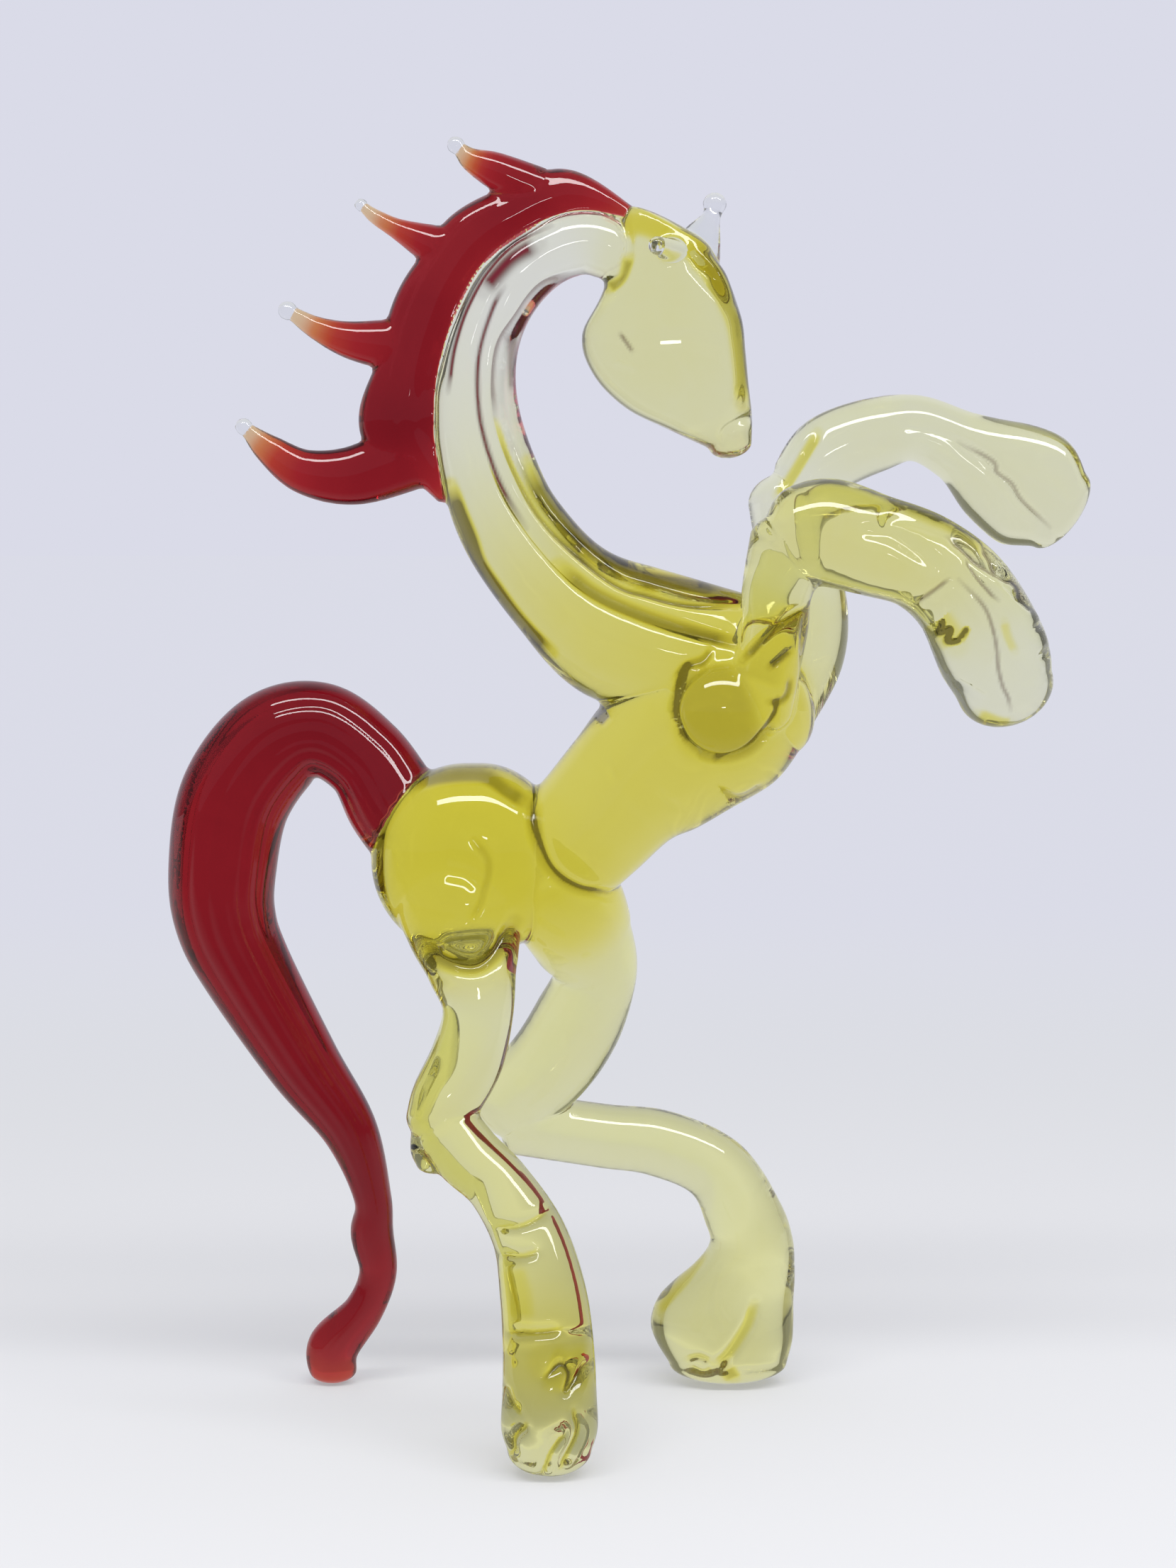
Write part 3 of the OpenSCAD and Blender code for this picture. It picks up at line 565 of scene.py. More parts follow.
# Tail. A thick ruby rod combed lengthwise with a blade, arched off the rump and let down to the
# ground, where its end is pressed flat so the horse stands on it.
TAIL = [
    (-18.5, 2.0, 53.0, 4.6, 3.4, 1.0),
    (-20.7, 2.4, 55.5, 4.3, 3.4, 1.0),
    (-23.2, 3.0, 59.3, 3.9, 3.2, 1.0),
    (-27.2, 3.6, 61.8, 4.25, 3.4, 1.0),
    (-31.4, 4.2, 60.5, 4.85, 3.75, 0.92),
    (-35.0, 5.0, 55.6, 5.0, 3.75, 0.88),
    (-36.3, 6.0, 49.2, 4.85, 3.75, 0.86),
    (-36.2, 6.9, 44.6, 4.6, 3.55, 0.9),
    (-34.5, 8.0, 40.0, 4.2, 3.4, 0.95),
    (-29.6, 9.9, 31.0, 3.4, 3.0, 1.0),
    (-25.4, 11.0, 24.5, 2.55, 2.45, 1.1),
    (-23.4, 12.0, 18.0, 1.75, 1.9, 1.15),
    (-23.5, 12.6, 14.5, 2.0, 1.9, 1.1),
    (-23.0, 13.0, 10.7, 1.75, 1.7, 1.05),
    (-24.4, 13.5, 7.0, 1.85, 1.9, 1.0),
    (-27.2, 14.0, 3.5, 2.4, 2.1, 0.85),
    (-27.3, 14.0, 1.2, 2.2, 2.0, 0.6),
]
draw([("tail", 0)], TAIL, (0.5, 1.2), red_glass, "red_glass")
comb("tail", TAIL, (-0.7, -0.42, -0.12, 0.2, 0.55), 0.4, 0.13)

# Near hind leg. Thigh and cannon are two rods of straw glass joined at the hock; the end of the
# thigh's rod is left standing as a spur. The hoof is the cannon's end, flattened on the marver.
draw(
    [("near_thigh", 0)],
    [
        (-14.4, 0.2, 49.5, 6.3, 4.9, 0.97),
        (-14.4, -0.9, 46.5, 6.0, 4.7, 0.92),
        (-14.2, -1.7, 44.3, 5.1, 4.2, 0.85),
        (-13.6, -3.0, 41.4, 4.0, 3.6, 0.6),
        (-13.1, -4.0, 37.9, 3.1, 3.2, 0.44),
        (-14.0, -5.1, 34.0, 3.2, 3.2, 0.46),
        (-15.7, -6.2, 30.7, 3.1, 3.1, 0.5),
        (-16.4, -6.7, 28.7, 2.9, 2.9, 0.55),
    ],
    (3.6, 2.2), straw_glass, "straw_glass",
)
# The crease in which the thigh leaves the haunch, with painted shade deep in it.
STIFLE = [(-17.1, 44.1), (-16.6, 42.7), (-13.4, 42.2), (-11.2, 43.4), (-10.0, 45.6)]
press(["near_thigh", "haunch"], STIFLE, 0.8, 0.9, shade_and_tinge=1.2)
draw(
    [("near_hock_spur", 0)],
    [
        (-16.4, -7.0, 28.0, 2.4, 1.9, 0.5),
        (-16.8, -7.2, 26.0, 2.1, 1.7, 0.5),
        (-16.9, -7.2, 25.0, 1.5, 1.4, 0.5),
    ],
    (0.5, 0.8), straw_glass, "straw_glass",
)
draw(
    [("near_hind_cannon", 0), ("near_hind_hoof", 5)],
    [
        (-15.8, -6.8, 28.0, 3.0, 3.0, 0.5),
        (-13.8, -7.7, 25.8, 2.9, 2.9, 0.5),
        (-11.2, -8.9, 23.5, 2.8, 2.8, 0.5),
        (-8.6, -10.4, 19.5, 3.2, 3.1, 0.5),
        (-7.4, -11.9, 15.0, 3.7, 3.6, 0.55),
        (-6.9, -13.5, 10.5, 3.9, 3.9, 0.68),
        (-6.8, -14.6, 7.0, 4.0, 4.1, 0.62),
        (-6.8, -15.0, 4.0, 4.1, 4.1, 0.45),
        (-6.8, -15.0, 2.2, 3.6, 3.7, 0.45),
    ],
    (1.4, 2.2), straw_glass, "straw_glass",
)
# Crimps that the tweezers left in the cannon and the hoof: sides, tinge of the thin line of painted
# shade in it, line.
CRIMPS = (
    (NEAR, 0.9, ((-10.1, 12.3), (-8.8, 12.6), (-5.8, 12.9))),
    (NEAR, 0.4, ((-11.4, 20.5), (-9.0, 21.1), (-6.9, 22.0))),
    (NEAR, 0.4, ((-10.8, 18.4), (-9.3, 18.6), (-7.8, 19.0))),
    (BOTH, 0.9, ((-7.3, 9.1), (-5.8, 10.2), (-5.0, 9.4), (-5.3, 8.0), (-3.9, 9.4), (-3.3, 9.9))),
    (BOTH, 0.9, ((-4.7, 6.4), (-4.2, 4.7), (-5.0, 2.8), (-5.8, 1.4))),
    (BOTH, 0.9, ((-7.4, 0.6), (-6.6, 2.8), (-5.5, 4.4))),
    (BOTH, 0.9, ((-10.0, 2.2), (-9.9, 3.9), (-8.7, 5.3))),
    (BOTH, 0.9, ((-10.8, 8.0), (-10.1, 6.6), (-9.3, 6.1))),
)
for sides, shade_and_tinge, crimp in CRIMPS:
    press(["near_hind_cannon", "near_hind_hoof"], crimp, 0.5, 0.4, sides)
    press(["near_hind_cannon", "near_hind_hoof"], crimp, 0.2, 0.1, shade_and_tinge=shade_and_tinge)
# Broader painted shade on the hoof and down the back of the fetlock.
press(["near_hind_hoof"], [(-7.0, 10.2), (-5.2, 9.6), (-3.6, 9.8)], 1.6, 0.0, shade_and_tinge=0.55)
FETLOCK = [(-10.0, 17.4), (-9.4, 15.4), (-9.2, 13.6)]
press(["near_hind_cannon", "near_hind_hoof"], FETLOCK, 1.1, 0.0, shade_and_tinge=0.4)

# Far hind leg. Built as the near one, of the same straw glass, and fused to the far side of the
# haunch. Its hoof was squeezed while soft and flares to the back.
draw(
    [("far_thigh", 0)],
    [
        (-7.6, 2.6, 49.6, 5.4, 6.0, 0.95),
        (-5.6, 3.8, 46.6, 5.2, 5.8, 0.8),
        (-4.1, 5.6, 43.3, 4.7, 4.6, 0.52),
        (-2.8, 7.0, 39.8, 3.7, 3.8, 0.42),
        (-4.5, 8.0, 35.0, 4.1, 3.8, 0.42),
        (-7.4, 9.0, 30.5, 4.0, 3.6, 0.42),
        (-11.6, 9.9, 27.0, 3.5, 3.2, 0.42),
    ],
    (3.0, 2.2), straw_glass, "straw_glass",
)
draw(
    [("far_hind_cannon", 0), ("far_hind_hoof", 6)],
    [
        (-10.0, 10.4, 25.2, 2.9, 2.9, 0.42),
        (-2.2, 11.6, 23.8, 2.95, 2.9, 0.42),
        (3.0, 12.2, 23.0, 3.1, 3.0, 0.42),
        (8.2, 13.0, 20.5, 3.2, 3.1, 0.42),
        (10.9, 13.5, 16.0, 3.6, 3.4, 0.42),
        (11.6, 13.8, 13.4, 3.9, 3.7, 0.42),
        (11.0, 14.0, 11.2, 4.7, 3.9, 0.42),
        (10.0, 14.0, 9.5, 5.7, 4.0, 0.42),
        (9.25, 14.0, 7.9, 6.35, 4.1, 0.42),
        (8.95, 14.0, 5.8, 6.65, 4.2, 0.42),
        (9.15, 14.0, 4.0, 6.35, 4.2, 0.45),
        (9.5, 14.0, 2.0, 5.5, 3.9, 0.45),
    ],
    (1.4, 1.9), straw_glass, "straw_glass", axes=(80, 81, 72, 48, 18, 4, 0, 0, 0, 0, 0, 0),
)
# The squeeze: one deep fold up the side of the hoof, and small ones at its sole, each with painted
# shade in it. A line of painted shade runs along the flare.
QUARTER = [(11.8, 8.4), (11.3, 6.7), (10.4, 5.2), (9.2, 3.5), (8.3, 2.7)]
press(["far_hind_hoof"], QUARTER, 0.5, 0.7, shade_and_tinge=0.5)
press(["far_hind_hoof"], [(5.5, 3.0), (6.6, 3.4), (7.7, 3.0)], 0.35, 0.4, shade_and_tinge=0.3)
press(["far_hind_hoof"], [(5.8, 2.2), (7.0, 1.8), (7.9, 2.2)], 0.35, 0.4, shade_and_tinge=0.3)
press(["far_hind_hoof"], [(9.3, 2.2), (9.9, 1.2)], 0.7, 0.3, shade_and_tinge=1.0)
FLARE = [(7.4, 12.6), (5.7, 10.4), (4.1, 8.6), (3.0, 7.1)]
press(["far_hind_hoof", "far_hind_cannon"], FLARE, 0.35, 0.0, shade_and_tinge=0.5)

# Near fore leg. A rod of straw glass, fused to the breast and bent forward at the knee; the hoof
# hangs, folded and crimped with tweezers. A disc of glass is pressed on over the root.
draw(
    [("near_upper_arm", 0)],
    [
        (11.4, -2.6, 64.4, 2.9, 3.2, 0.9),
        (12.0, -3.2, 67.6, 2.8, 3.4, 0.8),
        (12.6, -4.2, 71.4, 2.85, 3.1, 0.6),
        (12.7, -4.8, 74.5, 3.05, 3.0, 0.48),
        (13.8, -5.0, 78.3, 3.6, 3.4, 0.48),
    ],
    (2.4, 2.6), straw_glass, "straw_glass",
)
draw(
    [("near_upper_arm", 0)],
    [(8.0, -3.4, 64.0, 4.2, 3.2, 1.5), (8.2, -3.4, 64.0, 4.2, 3.2, 1.5)],
    (4.1, 4.1), straw_glass, "straw_glass",
)
# The disc's rim is pressed in from its upper left, round below, to its right, and harder by one
# stroke on either side. Painted shade darkens the rim, the strokes and the crease above the disc.
RIM = [(8.1 + 4.4 * math.cos(t), 64.0 + 4.2 * math.sin(t)) for t in np.linspace(2.0, 6.2, 12)]
press(["chest", "neck", "near_upper_arm"], RIM, 0.45, 0.6, shade_and_tinge=0.5)
for stroke in (
    [(5.3, 68.0), (4.9, 67.8), (4.1, 66.1), (3.9, 63.7), (4.8, 61.5)],
    [(12.8, 65.4), (12.3, 63.5), (10.2, 61.0), (7.5, 59.7)],
):
    press(["chest", "neck", "near_upper_arm"], stroke, 0.25, 0.15, shade_and_tinge=1.3)
press(["chest", "neck"], [(4.0, 66.7), (4.9, 67.9), (6.4, 68.5), (7.2, 69.4)], 0.4, 0.5, shade_and_tinge=0.8)
press(["near_upper_arm"], [(11.0, 66.5), (12.0, 69.0), (13.4, 71.4)], 2.0, 0.0, shade_and_tinge=0.4)
# Creases of the thin web of glass between the disc and the upper arm, with painted shade in them.
WEB = (
    ((9.7, 68.5), (11.4, 70.4), (12.9, 71.8), (15.1, 73.0)),
    ((15.1, 72.6), (14.9, 69.7), (15.2, 67.4), (15.5, 66.6)),
    ((12.0, 68.0), (12.9, 68.7), (13.8, 69.4)),
    ((12.0, 65.0), (12.9, 64.9), (13.7, 65.6), (13.9, 67.0)),
)
for crease in WEB:
    press(["chest", "near_upper_arm"], crease, 0.35, 0.25, shade_and_tinge=0.9)
draw(
    [("near_forearm", 0), ("near_fore_hoof", 4)],
    [
        (15.0, -5.0, 79.2, 4.4, 4.0, 0.5),
        (17.2, -5.0, 79.4, 4.65, 4.2, 0.5),
        (20.8, -5.5, 78.4, 4.4, 4.2, 0.5),
        (25.0, -6.0, 77.0, 4.25, 4.1, 0.5),
        (28.6, -6.0, 74.0, 4.5, 4.0, 0.4),
        (31.1, -6.0, 69.3, 4.8, 3.7, 0.27),
        (32.2, -6.0, 66.3, 4.2, 3.3, 0.25),
    ],
    (3.4, 3.4), straw_glass, "straw_glass",
)
# Folds where the hoof was bent down, each with a thin line of painted shade in dark ruby in it; a
# short fold on the hoof gets painted shade in deeper yellow.
FOLDS = (
    ((24.2, 73.4), (25.2, 74.2), (26.9, 75.6)),
    (
        (27.7, 75.6), (29.9, 73.4), (30.7, 71.5), (31.1, 69.5), (31.2, 68.1), (31.6, 66.5),
        (32.1, 65.5), (32.4, 64.4),
    ),
    ((26.9, 79.3), (28.8, 77.7), (30.0, 76.7), (31.5, 76.1)),
    ((29.9, 78.6), (30.7, 77.4), (31.6, 76.0), (32.9, 75.3), (34.3, 73.1)),
    ((28.5, 77.4), (29.4, 75.8), (31.2, 73.8)),
)
for fold in FOLDS:
    press(["near_forearm", "near_fore_hoof"], fold, 0.55, 0.4)
    press(["near_forearm", "near_fore_hoof"], fold, 0.2, 0.1, ruby_and_shade=0.75)
for fold in FOLDS[2:4]:
    press(["near_forearm", "near_fore_hoof"], fold, 0.6, 0.35, FAR)
press(["near_fore_hoof"], [(31.7, 72.0), (32.0, 70.8), (32.6, 69.5)], 0.4, 0.3, shade_and_tinge=0.4)
# A scribble of a groove at the back of the hoof, darkened with painted shade.
SHADED_SCRIBBLE = (
    (25.7, 72.4), (26.4, 71.9), (26.2, 71.0), (27.1, 71.3), (26.9, 70.3), (27.8, 70.4), (28.4, 71.3),
    (28.1, 70.5),
)
press(["near_fore_hoof"], SHADED_SCRIBBLE, 0.28, 0.3, shade_and_tinge=2.0)
# Painted shade along the upper edge of the forearm and hoof, and on the back of the hoof.
UPPER_EDGE_SHADE = [(23.0, 82.4), (27.0, 80.8), (30.6, 78.0)]
press(["near_forearm", "near_fore_hoof"], UPPER_EDGE_SHADE, 0.9, 0.0, BOTH, shade_and_tinge=0.6)
press(["near_fore_hoof"], [(25.6, 72.6), (26.8, 71.2), (27.6, 70.0)], 1.2, 0.0, shade_and_tinge=0.5)
# Soft grooves along the forearm that mirror the lamp as bright streaks.
for streak in (
    [(19.0, 79.8), (21.6, 79.3), (24.2, 77.9), (26.1, 76.3)],
    [(25.5, 76.7), (22.9, 79.4), (21.9, 80.3), (22.8, 80.7), (24.8, 80.3), (27.1, 79.4)],
):
    press(["near_forearm", "near_fore_hoof"], streak, 0.8, 0.51)
# Short wrinkles on the outer edge and the end of the hoof.
WRINKLES = (
    ((30.7, 77.0), (32.7, 75.5)), ((31.6, 75.3), (33.9, 73.7)), ((32.4, 74.5), (34.5, 73.0)),
    ((34.7, 68.8), (35.9, 69.6)), ((34.3, 71.3), (35.4, 71.7)), ((29.1, 66.1), (30.3, 65.5)),
    ((27.7, 66.9), (29.1, 66.2)), ((30.3, 67.6), (31.1, 69.3)),
)
for wrinkle in WRINKLES:
    press(["near_fore_hoof"], wrinkle, 0.35, 0.3)
# Painted shade along the end of the hoof, on both sides.
press(["near_fore_hoof"], [(29.6, 63.9), (31.4, 63.2), (32.4, 63.0)], 0.7, 0.0, BOTH, shade_and_tinge=0.8)

# Far fore leg. A second rod of straw glass, lifted higher; its wide root fills the crease behind
# the near leg. The hoof was pinched flat to a paddle, which left a fold and a jagged edge in it.
draw(
    [("far_upper_arm", 0)],
    [
        (12.0, 4.2, 63.4, 4.4, 3.4, 0.55),
        (14.4, 5.8, 68.6, 4.9, 3.4, 0.45),
        (15.4, 7.4, 72.6, 4.3, 3.3, 0.42),
        (14.8, 8.4, 78.0, 3.5, 3.3, 0.27),
        (14.3, 8.5, 82.0, 3.5, 3.4, 0.2),
    ],
    (2.0, 2.6), straw_glass, "straw_glass",
)
draw(
    [("far_forearm", 0), ("far_fore_hoof", 4)],
    [
        (16.0, 8.5, 83.8, 3.2, 3.2, 0.22),
        (18.0, 8.5, 86.2, 3.5, 3.3, 0.28),
        (21.8, 8.5, 87.8, 3.35, 3.2, 0.32),
        (25.7, 9.0, 88.5, 2.95, 3.0, 0.32),
        (29.6, 9.0, 86.9, 3.3, 3.0, 0.34),
        (33.2, 9.0, 84.7, 4.9, 2.8, 0.36),
        (36.4, 9.0, 82.8, 5.45, 2.5, 0.36),
        (38.7, 9.0, 81.2, 4.0, 2.2, 0.36),
    ],
    (2.2, 1.9), straw_glass, "straw_glass",
)
# The groove of the pinch down the paddle, and the jagged fold beside it with a line of painted shade
# in dark ruby.
PINCH = [(24.0, 88.6), (26.5, 88.3), (29.0, 87.4), (31.3, 85.5), (33.4, 83.4), (36.6, 79.8)]
JAG = [(29.4, 87.3), (32.4, 85.6), (32.9, 84.5), (34.2, 83.5), (35.2, 81.9), (37.7, 79.6)]
press(["far_forearm", "far_fore_hoof"], PINCH[:4], 0.6, 0.5, BOTH)
press(["far_forearm", "far_fore_hoof"], PINCH[2:], 0.6, 0.7)
press(["far_forearm", "far_fore_hoof"], JAG, 0.5, 0.42, BOTH)
press(["far_forearm", "far_fore_hoof"], JAG, 0.2, 0.1, ruby_and_shade=0.7)
# The crease of the far knee, with painted shade in it.
KNEE = [(16.8, 88.1), (15.6, 86.1), (14.2, 83.8), (13.2, 82.5)]
press(["far_upper_arm", "far_forearm"], KNEE, 0.5, 0.5, shade_and_tinge=0.9)

# Fusing. In the flame the rods melt into one skin, with a small fillet at every joint. The skin is
# then shared out again to the pieces it came from, each closed inside by its fused seams.
VOXEL = 0.2  # grid on which the rods are melted together, mm
EVEN_STEPS = 24  # smoothing that takes the grid's steps out of the skin
FILLET_STEPS = 40  # smoothing that fills the creases only
FILLET_PULL = 0.6  # how far a spot in a crease moves at each step
HOLLOW_FROM = 0.012  # hollow at which a crease starts to fill, as a share of the grid
HOLLOW_SPAN = 0.03  # how much hollower it is where it fills at full pull
LAST_STEPS = 4  # smoothing after the fillets
TINY = 1e-12
points, faces, tints, owners = [], [], [], []
for rod_points, rod_faces, rod_tint, rod_owner in drawn:
    faces += [tuple(i + len(points) for i in f) for f in rod_faces]
    points += list(rod_points)
    tints += list(rod_tint)
    owners += rod_owner
joined = bpy.data.meshes.new("joined")
joined.from_pydata(points, [], faces)
melt = bpy.data.objects.new("melt", joined)
scene.collection.objects.link(melt)
remesh = melt.modifiers.new("melt", "REMESH")
remesh.mode = "VOXEL"
remesh.voxel_size = VOXEL
skin = bpy.data.meshes.new_from_object(melt.evaluated_get(bpy.context.evaluated_depsgraph_get()))
bpy.data.objects.remove(melt)


def read(items, name, columns, kind):
    """Reads one row of numbers off each vertex, edge or face of a mesh."""
    values = np.empty(len(items) * columns, kind)
    items.foreach_get(name, values)
    return values.reshape(-1, columns)


spots = read(skin.vertices, "co", 3, float)
quads = read(skin.polygons, "vertices", 4, int)
edges = read(skin.edges, "vertices", 2, int)
valence = np.bincount(edges.ravel(), minlength=len(spots))[:, None]


def unit(values):
    return values / np.maximum(np.linalg.norm(values, axis=1, keepdims=True), TINY)


def mean_of_neighbours(values):
    total = np.zeros_like(values)
    for column in range(values.shape[1]):
        total[:, column] = np.bincount(edges[:, 0], values[edges[:, 1], column], len(values))
        total[:, column] += np.bincount(edges[:, 1], values[edges[:, 0], column], len(values))
    return total / valence


def normals_of(values):
    a, b = values[quads[:, 2]] - values[quads[:, 0]], values[quads[:, 3]] - values[quads[:, 1]]
    flat = np.cross(a, b)
    total = np.zeros_like(values)
    for corner in range(4):
        for column in range(3):
            total[:, column] += np.bincount(quads[:, corner], flat[:, column], len(values))
    return unit(total)


def evened(values, steps, inward, outward):
    """Smooths the skin; each step pulls it in and then lets it out again, so it doesn't shrink."""
    for step in range(steps):
        values = values + inward * (mean_of_neighbours(values) - values)
        values = values - outward * (mean_of_neighbours(values) - values)
    return values


spots = evened(spots, EVEN_STEPS, inward=0.55, outward=0.57)
for step in range(FILLET_STEPS):
    pull = mean_of_neighbours(spots) - spots
    rise = (pull * normals_of(spots)).sum(axis=1, keepdims=True)
    spots += FILLET_PULL * pull * np.clip((rise / VOXEL - HOLLOW_FROM) / HOLLOW_SPAN, 0, 1)
spots = evened(spots, LAST_STEPS, inward=0.5, outward=0.52)

# Each face of the skin goes back to the rod it lies nearest to. A face among three others of one
# piece joins that piece, and the line between two pieces is then smoothed.
VOTE_ROUNDS = 6
MAJORITY = 3
SEAM_STEPS = 8
NORMAL_STEPS = 3
nearest = BVHTree.FromPolygons(points, faces)
found = [nearest.find_nearest(Vector(c))[2] for c in spots[quads].mean(axis=1)]
label = np.array(owners)[found]
edge_key = {}
for corner in range(4):
    a, b = quads[:, corner], quads[:, (corner + 1) % 4]
    for face, key in enumerate(zip(np.minimum(a, b).tolist(), np.maximum(a, b).tolist())):
        edge_key.setdefault(key, []).append(face)
pairs = np.array([f for f in edge_key.values() if len(f) == 2])
for step in range(VOTE_ROUNDS):
    votes = np.zeros((len(quads), len(pieces)), np.int8)
    np.add.at(votes, (pairs[:, 0], label[pairs[:, 1]]), 1)
    np.add.at(votes, (pairs[:, 1], label[pairs[:, 0]]), 1)
    best = votes.argmax(axis=1)
    label = np.where(votes[np.arange(len(quads)), best] >= MAJORITY, best, label)
border = [k for k, f in edge_key.items() if len(f) == 2 and label[f[0]] != label[f[1]]]
border = np.array(border)
count = np.bincount(border.ravel(), minlength=len(spots))[:, None]
for step in range(SEAM_STEPS):
    total = np.zeros_like(spots)
    np.add.at(total, border[:, 0], spots[border[:, 1]])
    np.add.at(total, border[:, 1], spots[border[:, 0]])
    spots = np.where(count == 2, spots + 0.5 * (total / np.maximum(count, 1) - spots), spots)
facing = normals_of(spots)
for step in range(NORMAL_STEPS):
    facing = 0.5 * facing + 0.5 * mean_of_neighbours(facing)
facing = unit(facing)

# The tool marks are pressed in while the glass is soft. Each starts at a quarter of its depth and
# has all of it after an eighth of its length, and the same from its other end.
LINE_STEPS = 8  # steps of the curve between two points of a mark
END_SHARE = 0.25
END_RISE = 6
FULL_FACING = 0.5  # skin turned more than this towards the tool takes the whole depth
owner_at = np.zeros(len(spots), int)
owner_at[quads.ravel()] = np.repeat(label, 4)
order = [name for name, _, _ in pieces]
sunk = np.zeros(len(spots))
lean = np.zeros((len(spots), 3))
shade_and_tinge_at = np.zeros(len(spots))
ruby_and_shade_at = np.zeros(len(spots))
share = np.linspace(0, 1, LINE_STEPS, endpoint=False)[:, None]
for names, line, width, depth, side, shade_and_tinge, ruby_and_shade in marks:
    line = np.array(line, float)
    line = np.concatenate([2 * line[:1] - line[1:2], line, 2 * line[-1:] - line[-2:-1]])
    curve = []
    for a, b, c, d in zip(line, line[1:], line[2:], line[3:]):
        bend = (2 * a - 5 * b + 4 * c - d) * share**2 + (3 * b - a - 3 * c + d) * share**3
        curve.append(0.5 * (2 * b + (c - a) * share + bend))
    curve = np.concatenate(curve + [line[-2:-1]])
    owned = np.isin(owner_at, [order.index(name) for name in names])
    mine = np.flatnonzero(owned & (facing[:, 1] * side > 0))
    gap, run, away = np.full(len(mine), np.inf), np.zeros(len(mine)), np.zeros((len(mine), 2))
    for number, (a, b) in enumerate(zip(curve, curve[1:])):
        off = spots[mine][:, [0, 2]] - a
        t = np.clip(off @ (b - a) / max((b - a) @ (b - a), TINY), 0, 1)
        off -= t[:, None] * (b - a)
        apart = np.linalg.norm(off, axis=1)
        run = np.where(apart < gap, (number + t) / (len(curve) - 1), run)
        away = np.where((apart < gap)[:, None], off, away)
        gap = np.minimum(gap, apart)
    ends = np.clip(END_RISE * np.minimum(run, 1 - run) + END_SHARE, 0, 1)
    patch = ends * np.exp(-((gap / width) ** 4))
    shade_and_tinge_at[mine] += shade_and_tinge * patch
    ruby_and_shade_at[mine] = np.maximum(ruby_and_shade_at[mine], ruby_and_shade * patch)
    taken = np.clip(facing[mine, 1] * side / FULL_FACING, 0, 1)
    shape = depth * ends * taken * np.exp(-((gap / width) ** 2))
    sunk[mine] += shape
    lean[np.ix_(mine, [0, 2])] -= (2 * shape / width**2)[:, None] * away
spots -= facing * sunk[:, None]
lean -= (lean * facing).sum(axis=1, keepdims=True) * facing
facing = unit(facing + lean)

# The tint is read off the rods and evened out along glass of one colour.
TINT_STEPS = 60
FAMILIES = {"amber_glass": 0, "straw_glass": 0, "clear_glass": 1, "red_glass": 2}
family = np.array([FAMILIES[slot] for _, _, slot in pieces])
own_family = np.zeros(len(spots), int)
own_family[quads.ravel()] = np.repeat(family[label], 4)
face_tint = np.array([np.mean([tints[i] for i in faces[f]]) for f in found])
weight = np.bincount(quads.ravel(), minlength=len(spots))
tint_at = np.bincount(quads.ravel(), np.repeat(face_tint, 4), len(spots)) / weight
kin = edges[own_family[edges[:, 0]] == own_family[edges[:, 1]]]
kin_count = np.maximum(np.bincount(kin.ravel(), minlength=len(spots)), 1)
for step in range(TINT_STEPS):
    total = np.bincount(kin[:, 0], tint_at[kin[:, 1]], len(spots))
    total = total + np.bincount(kin[:, 1], tint_at[kin[:, 0]], len(spots))
    tint_at = np.where(total > 0, 0.5 * tint_at + 0.5 * total / kin_count, tint_at)
# The painted shade and deeper tinge of the tool marks go on top.
tint_at += shade_and_tinge_at


def seam_faces(patch):
    """Closes a patch of skin: each open loop is filled from its shortest crossings inwards."""
    sides = {}
    for face in patch:
        for a, b in zip(face, np.roll(face, -1)):
            sides[(int(a), int(b))] = True
    onward = {}
    for a, b in sides:
        if (b, a) not in sides:
            onward.setdefault(b, []).append(a)
    loops = []
    while onward:
        trail = [next(iter(onward))]
        step_of = {trail[0]: 0}
        while trail:
            steps = onward[trail[-1]]
            ahead = steps.pop()
            if not steps:
                del onward[trail[-1]]
            if ahead not in step_of:
                step_of[ahead] = len(trail)
                trail.append(ahead)
                continue
            loops.append(trail[step_of[ahead] :])
            for spot in loops[-1]:
                del step_of[spot]
            trail = trail[: -len(loops[-1])]
            if trail:
                step_of[ahead] = len(trail)
                trail.append(ahead)
    filled = []
    for loop in loops:
        size = len(loop)
        after = [(i + 1) % size for i in range(size)]
        before = [(i - 1) % size for i in range(size)]
        gone = [False] * size
        place = spots[loop]

        def crossing(i):
            return float(np.linalg.norm(place[before[i]] - place[after[i]]))

        queue = [(crossing(i), i, before[i], after[i]) for i in range(size)]
        heapq.heapify(queue)
        left = size
        while left > 3 and queue:
            _, i, b, a = heapq.heappop(queue)
            if gone[i] or before[i] != b or after[i] != a:
                continue
            filled.append((loop[b], loop[i], loop[a]))
            gone[i] = True
            left -= 1
            after[b], before[a] = a, b
            heapq.heappush(queue, (crossing(b), b, before[b], after[b]))
            heapq.heappush(queue, (crossing(a), a, before[a], after[a]))
        rest = [i for i in range(size) if not gone[i]]
        if len(rest) == 3:
            filled.append(tuple(loop[i] for i in rest))
    return filled


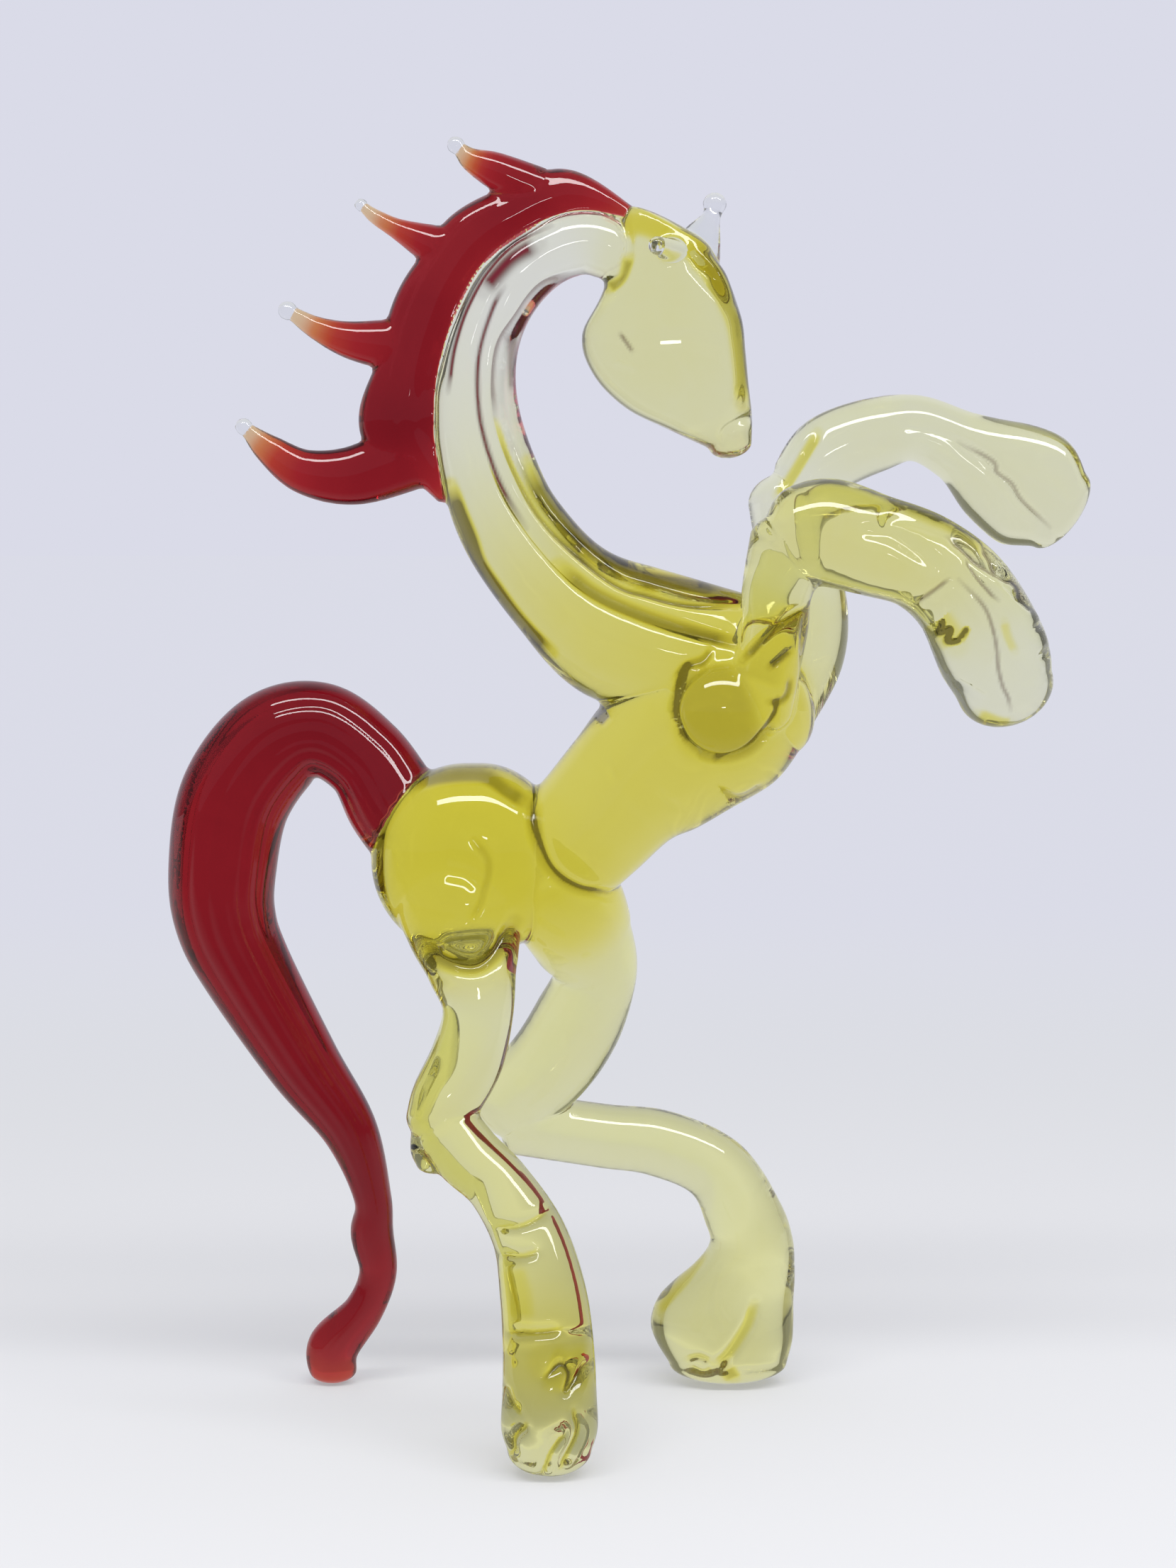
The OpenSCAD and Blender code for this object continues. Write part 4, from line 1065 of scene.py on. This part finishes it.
for number, (name, material, slot) in enumerate(pieces):
    patch = quads[label == number]
    inside = np.array(seam_faces(patch.tolist()), int)
    both = np.concatenate([patch.ravel(), inside.ravel()])
    used, mapped = np.unique(both, return_inverse=True)
    outer = mapped[: patch.size].reshape(-1, 4)
    inner = mapped[patch.size :].reshape(-1, 3)
    own = spots[used]
    mesh = bpy.data.meshes.new(name + "_glass")
    mesh.from_pydata(own / 1000, [], outer.tolist() + inner.tolist())
    mesh.materials.append(material)
    mesh.materials.append(seam)
    mesh.polygons.foreach_set("material_index", [0] * len(outer) + [1] * len(inner))
    mesh.attributes.new("tint", "FLOAT", "POINT").data.foreach_set("value", tint_at[used])
    mesh.attributes.new("ruby_and_shade", "FLOAT", "POINT").data.foreach_set("value", ruby_and_shade_at[used])
    mesh.polygons.foreach_set("use_smooth", [True] * len(mesh.polygons))
    first, second, third = (own[inner[:, corner]] for corner in range(3))
    flat = unit(np.cross(second - first, third - first))
    corners = np.concatenate([facing[used][outer.ravel()], np.repeat(flat, 3, axis=0)])
    mesh.normals_split_custom_set(corners.tolist())
    piece = bpy.data.objects.new(name + "_glass", mesh)
    scene.collection.objects.link(piece)
    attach(piece, "root")
    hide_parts(name)

# Floor and light. A sheet of matt paper runs out of sight in a pale room. A long soft lamp hangs
# overhead, and a small one near the camera gives the sharp glints; neither is seen through the glass.
REACH = 3.0  # half a side of the sheet, m
floor_mesh = bpy.data.meshes.new("floor")
corners = [(-REACH, -REACH, 0), (REACH, -REACH, 0), (REACH, REACH, 0), (-REACH, REACH, 0)]
floor_mesh.from_pydata(corners, [], [(0, 1, 2, 3)])
floor = bpy.data.objects.new("floor", floor_mesh)
scene.collection.objects.link(floor)

# Matt paper, lit by the overhead lamp close to the horse and of an even tone further off, which goes
# over into the room's. The glass mirrors it darker in front of the horse, where the camera stands.
ROOM = "#DADBE8"
PAPER = "#D2D2D1"
SHEET = [(0, "#F1F2F4"), (0.1, "#E9EAEC"), (0.25, "#E0E1E4"), (0.55, "#DDDFE4"), (1, ROOM)]
sheet = bpy.data.materials.new("pale paper sheet")
sheet.use_nodes = True
tree = sheet.node_tree
tree.nodes.clear()
rays = node(tree, "ShaderNodeLightPath").outputs
place = node(tree, "ShaderNodeTexCoord").outputs["Object"]
back = node(tree, "ShaderNodeSeparateXYZ", {0: place}).outputs["Y"]
tone = node(tree, "ShaderNodeMapRange", {"Value": back, "From Min": -0.04, "From Max": 0.36})
stops = [(at, linear(code)) for at, code in SHEET]
shade = node(tree, "ShaderNodeValToRGB", {"Fac": tone}, stops)
shade.color_ramp.interpolation = "B_SPLINE"
front = node(
    tree, "ShaderNodeMapRange",
    {"Value": back, "From Min": -0.06, "From Max": 0.06, "To Min": 0.12},
)
level = node(tree, "ShaderNodeMix", {"Factor": rays["Is Glossy Ray"], "A": 1.0, "B": front})
even = node(tree, "ShaderNodeEmission", {"Color": shade.outputs["Color"], "Strength": level})
matt = node(tree, "ShaderNodeBsdfDiffuse", {"Color": linear(PAPER)})
far = node(tree, VECTOR, {0: place}, operation="LENGTH").outputs["Value"]
far = node(
    tree, "ShaderNodeMapRange",
    {"Value": far, "From Min": 0.05, "From Max": 0.30, "To Min": 0.4},
    interpolation_type="SMOOTHSTEP",
)
bent = node(
    tree, MATH, {0: rays["Is Transmission Ray"], 1: rays["Is Glossy Ray"]}, operation="MAXIMUM"
)
far = node(tree, MATH, {0: far, 1: bent}, operation="MAXIMUM")
mixed = node(tree, "ShaderNodeMixShader", {"Fac": far, 1: matt, 2: even})
node(tree, "ShaderNodeOutputMaterial", {"Surface": mixed})
floor_mesh.materials.append(sheet)

# The room is of one pale tone to the eye. In the glass it is bright behind the horse and dark at
# its sides and in front, which draws the edges of the glass.
ROUND = [(-1, 0.3), (-0.5, 0.3), (-0.2, 0.28), (0.2, 0.28), (0.45, 0.8), (0.62, 1)]
world = bpy.data.worlds.new("pale room")
scene.world = world
world.use_nodes = True
tree = world.node_tree
tree.nodes.clear()
rays = node(tree, "ShaderNodeLightPath").outputs
way = node(tree, "ShaderNodeTexCoord").outputs["Generated"]
back = node(tree, "ShaderNodeSeparateXYZ", {0: way}).outputs["Y"]
back = node(tree, MATH, {0: back, 1: 0.5, 2: 0.5}, operation="MULTIPLY_ADD")
stops = [(at / 2 + 0.5, (grey, grey, grey, 1)) for at, grey in ROUND]
edge = node(tree, "ShaderNodeValToRGB", {"Fac": back}, stops)
bent = node(
    tree, MATH, {0: rays["Is Transmission Ray"], 1: rays["Is Glossy Ray"]}, operation="MAXIMUM"
)
level = node(tree, "ShaderNodeMix", {"Factor": bent, "A": 1.0, "B": edge.outputs["Color"]})
room = node(tree, "ShaderNodeBackground", {"Color": linear(ROOM), "Strength": level})
node(tree, "ShaderNodeOutputWorld", {"Surface": room})

# One row per lamp: name, width and height in m, power in W, place, aim, and if it lights the paper.
LAMPS = (
    ("overhead", (0.85, 0.08), 2.8, (0.14, -0.24, 0.46), (0.14, 0, 0.06), True),
    ("glint", (0.04, 0.012), 0.023, (0.022, -0.36, 0.112), (0, 0, 0.06), False),
)
for name, size, power, place, aim, lights_paper in LAMPS:
    lamp = bpy.data.objects.new(name, bpy.data.lights.new(name, "AREA"))
    scene.collection.objects.link(lamp)
    lamp.data.shape = "RECTANGLE"
    lamp.data.size, lamp.data.size_y = size
    lamp.data.energy = power
    lamp.visible_diffuse = lights_paper
    lamp.visible_transmission = False
    lamp.location = place
    lamp.rotation_euler = (Vector(place) - Vector(aim)).to_track_quat("Z", "Y").to_euler()

# Light is turned back many times inside the glass before it leaves it.
scene.view_settings.view_transform = "Standard"
scene.cycles.max_bounces = 24
scene.cycles.transmission_bounces = 20
scene.cycles.glossy_bounces = 20
scene.cycles.transparent_max_bounces = 48
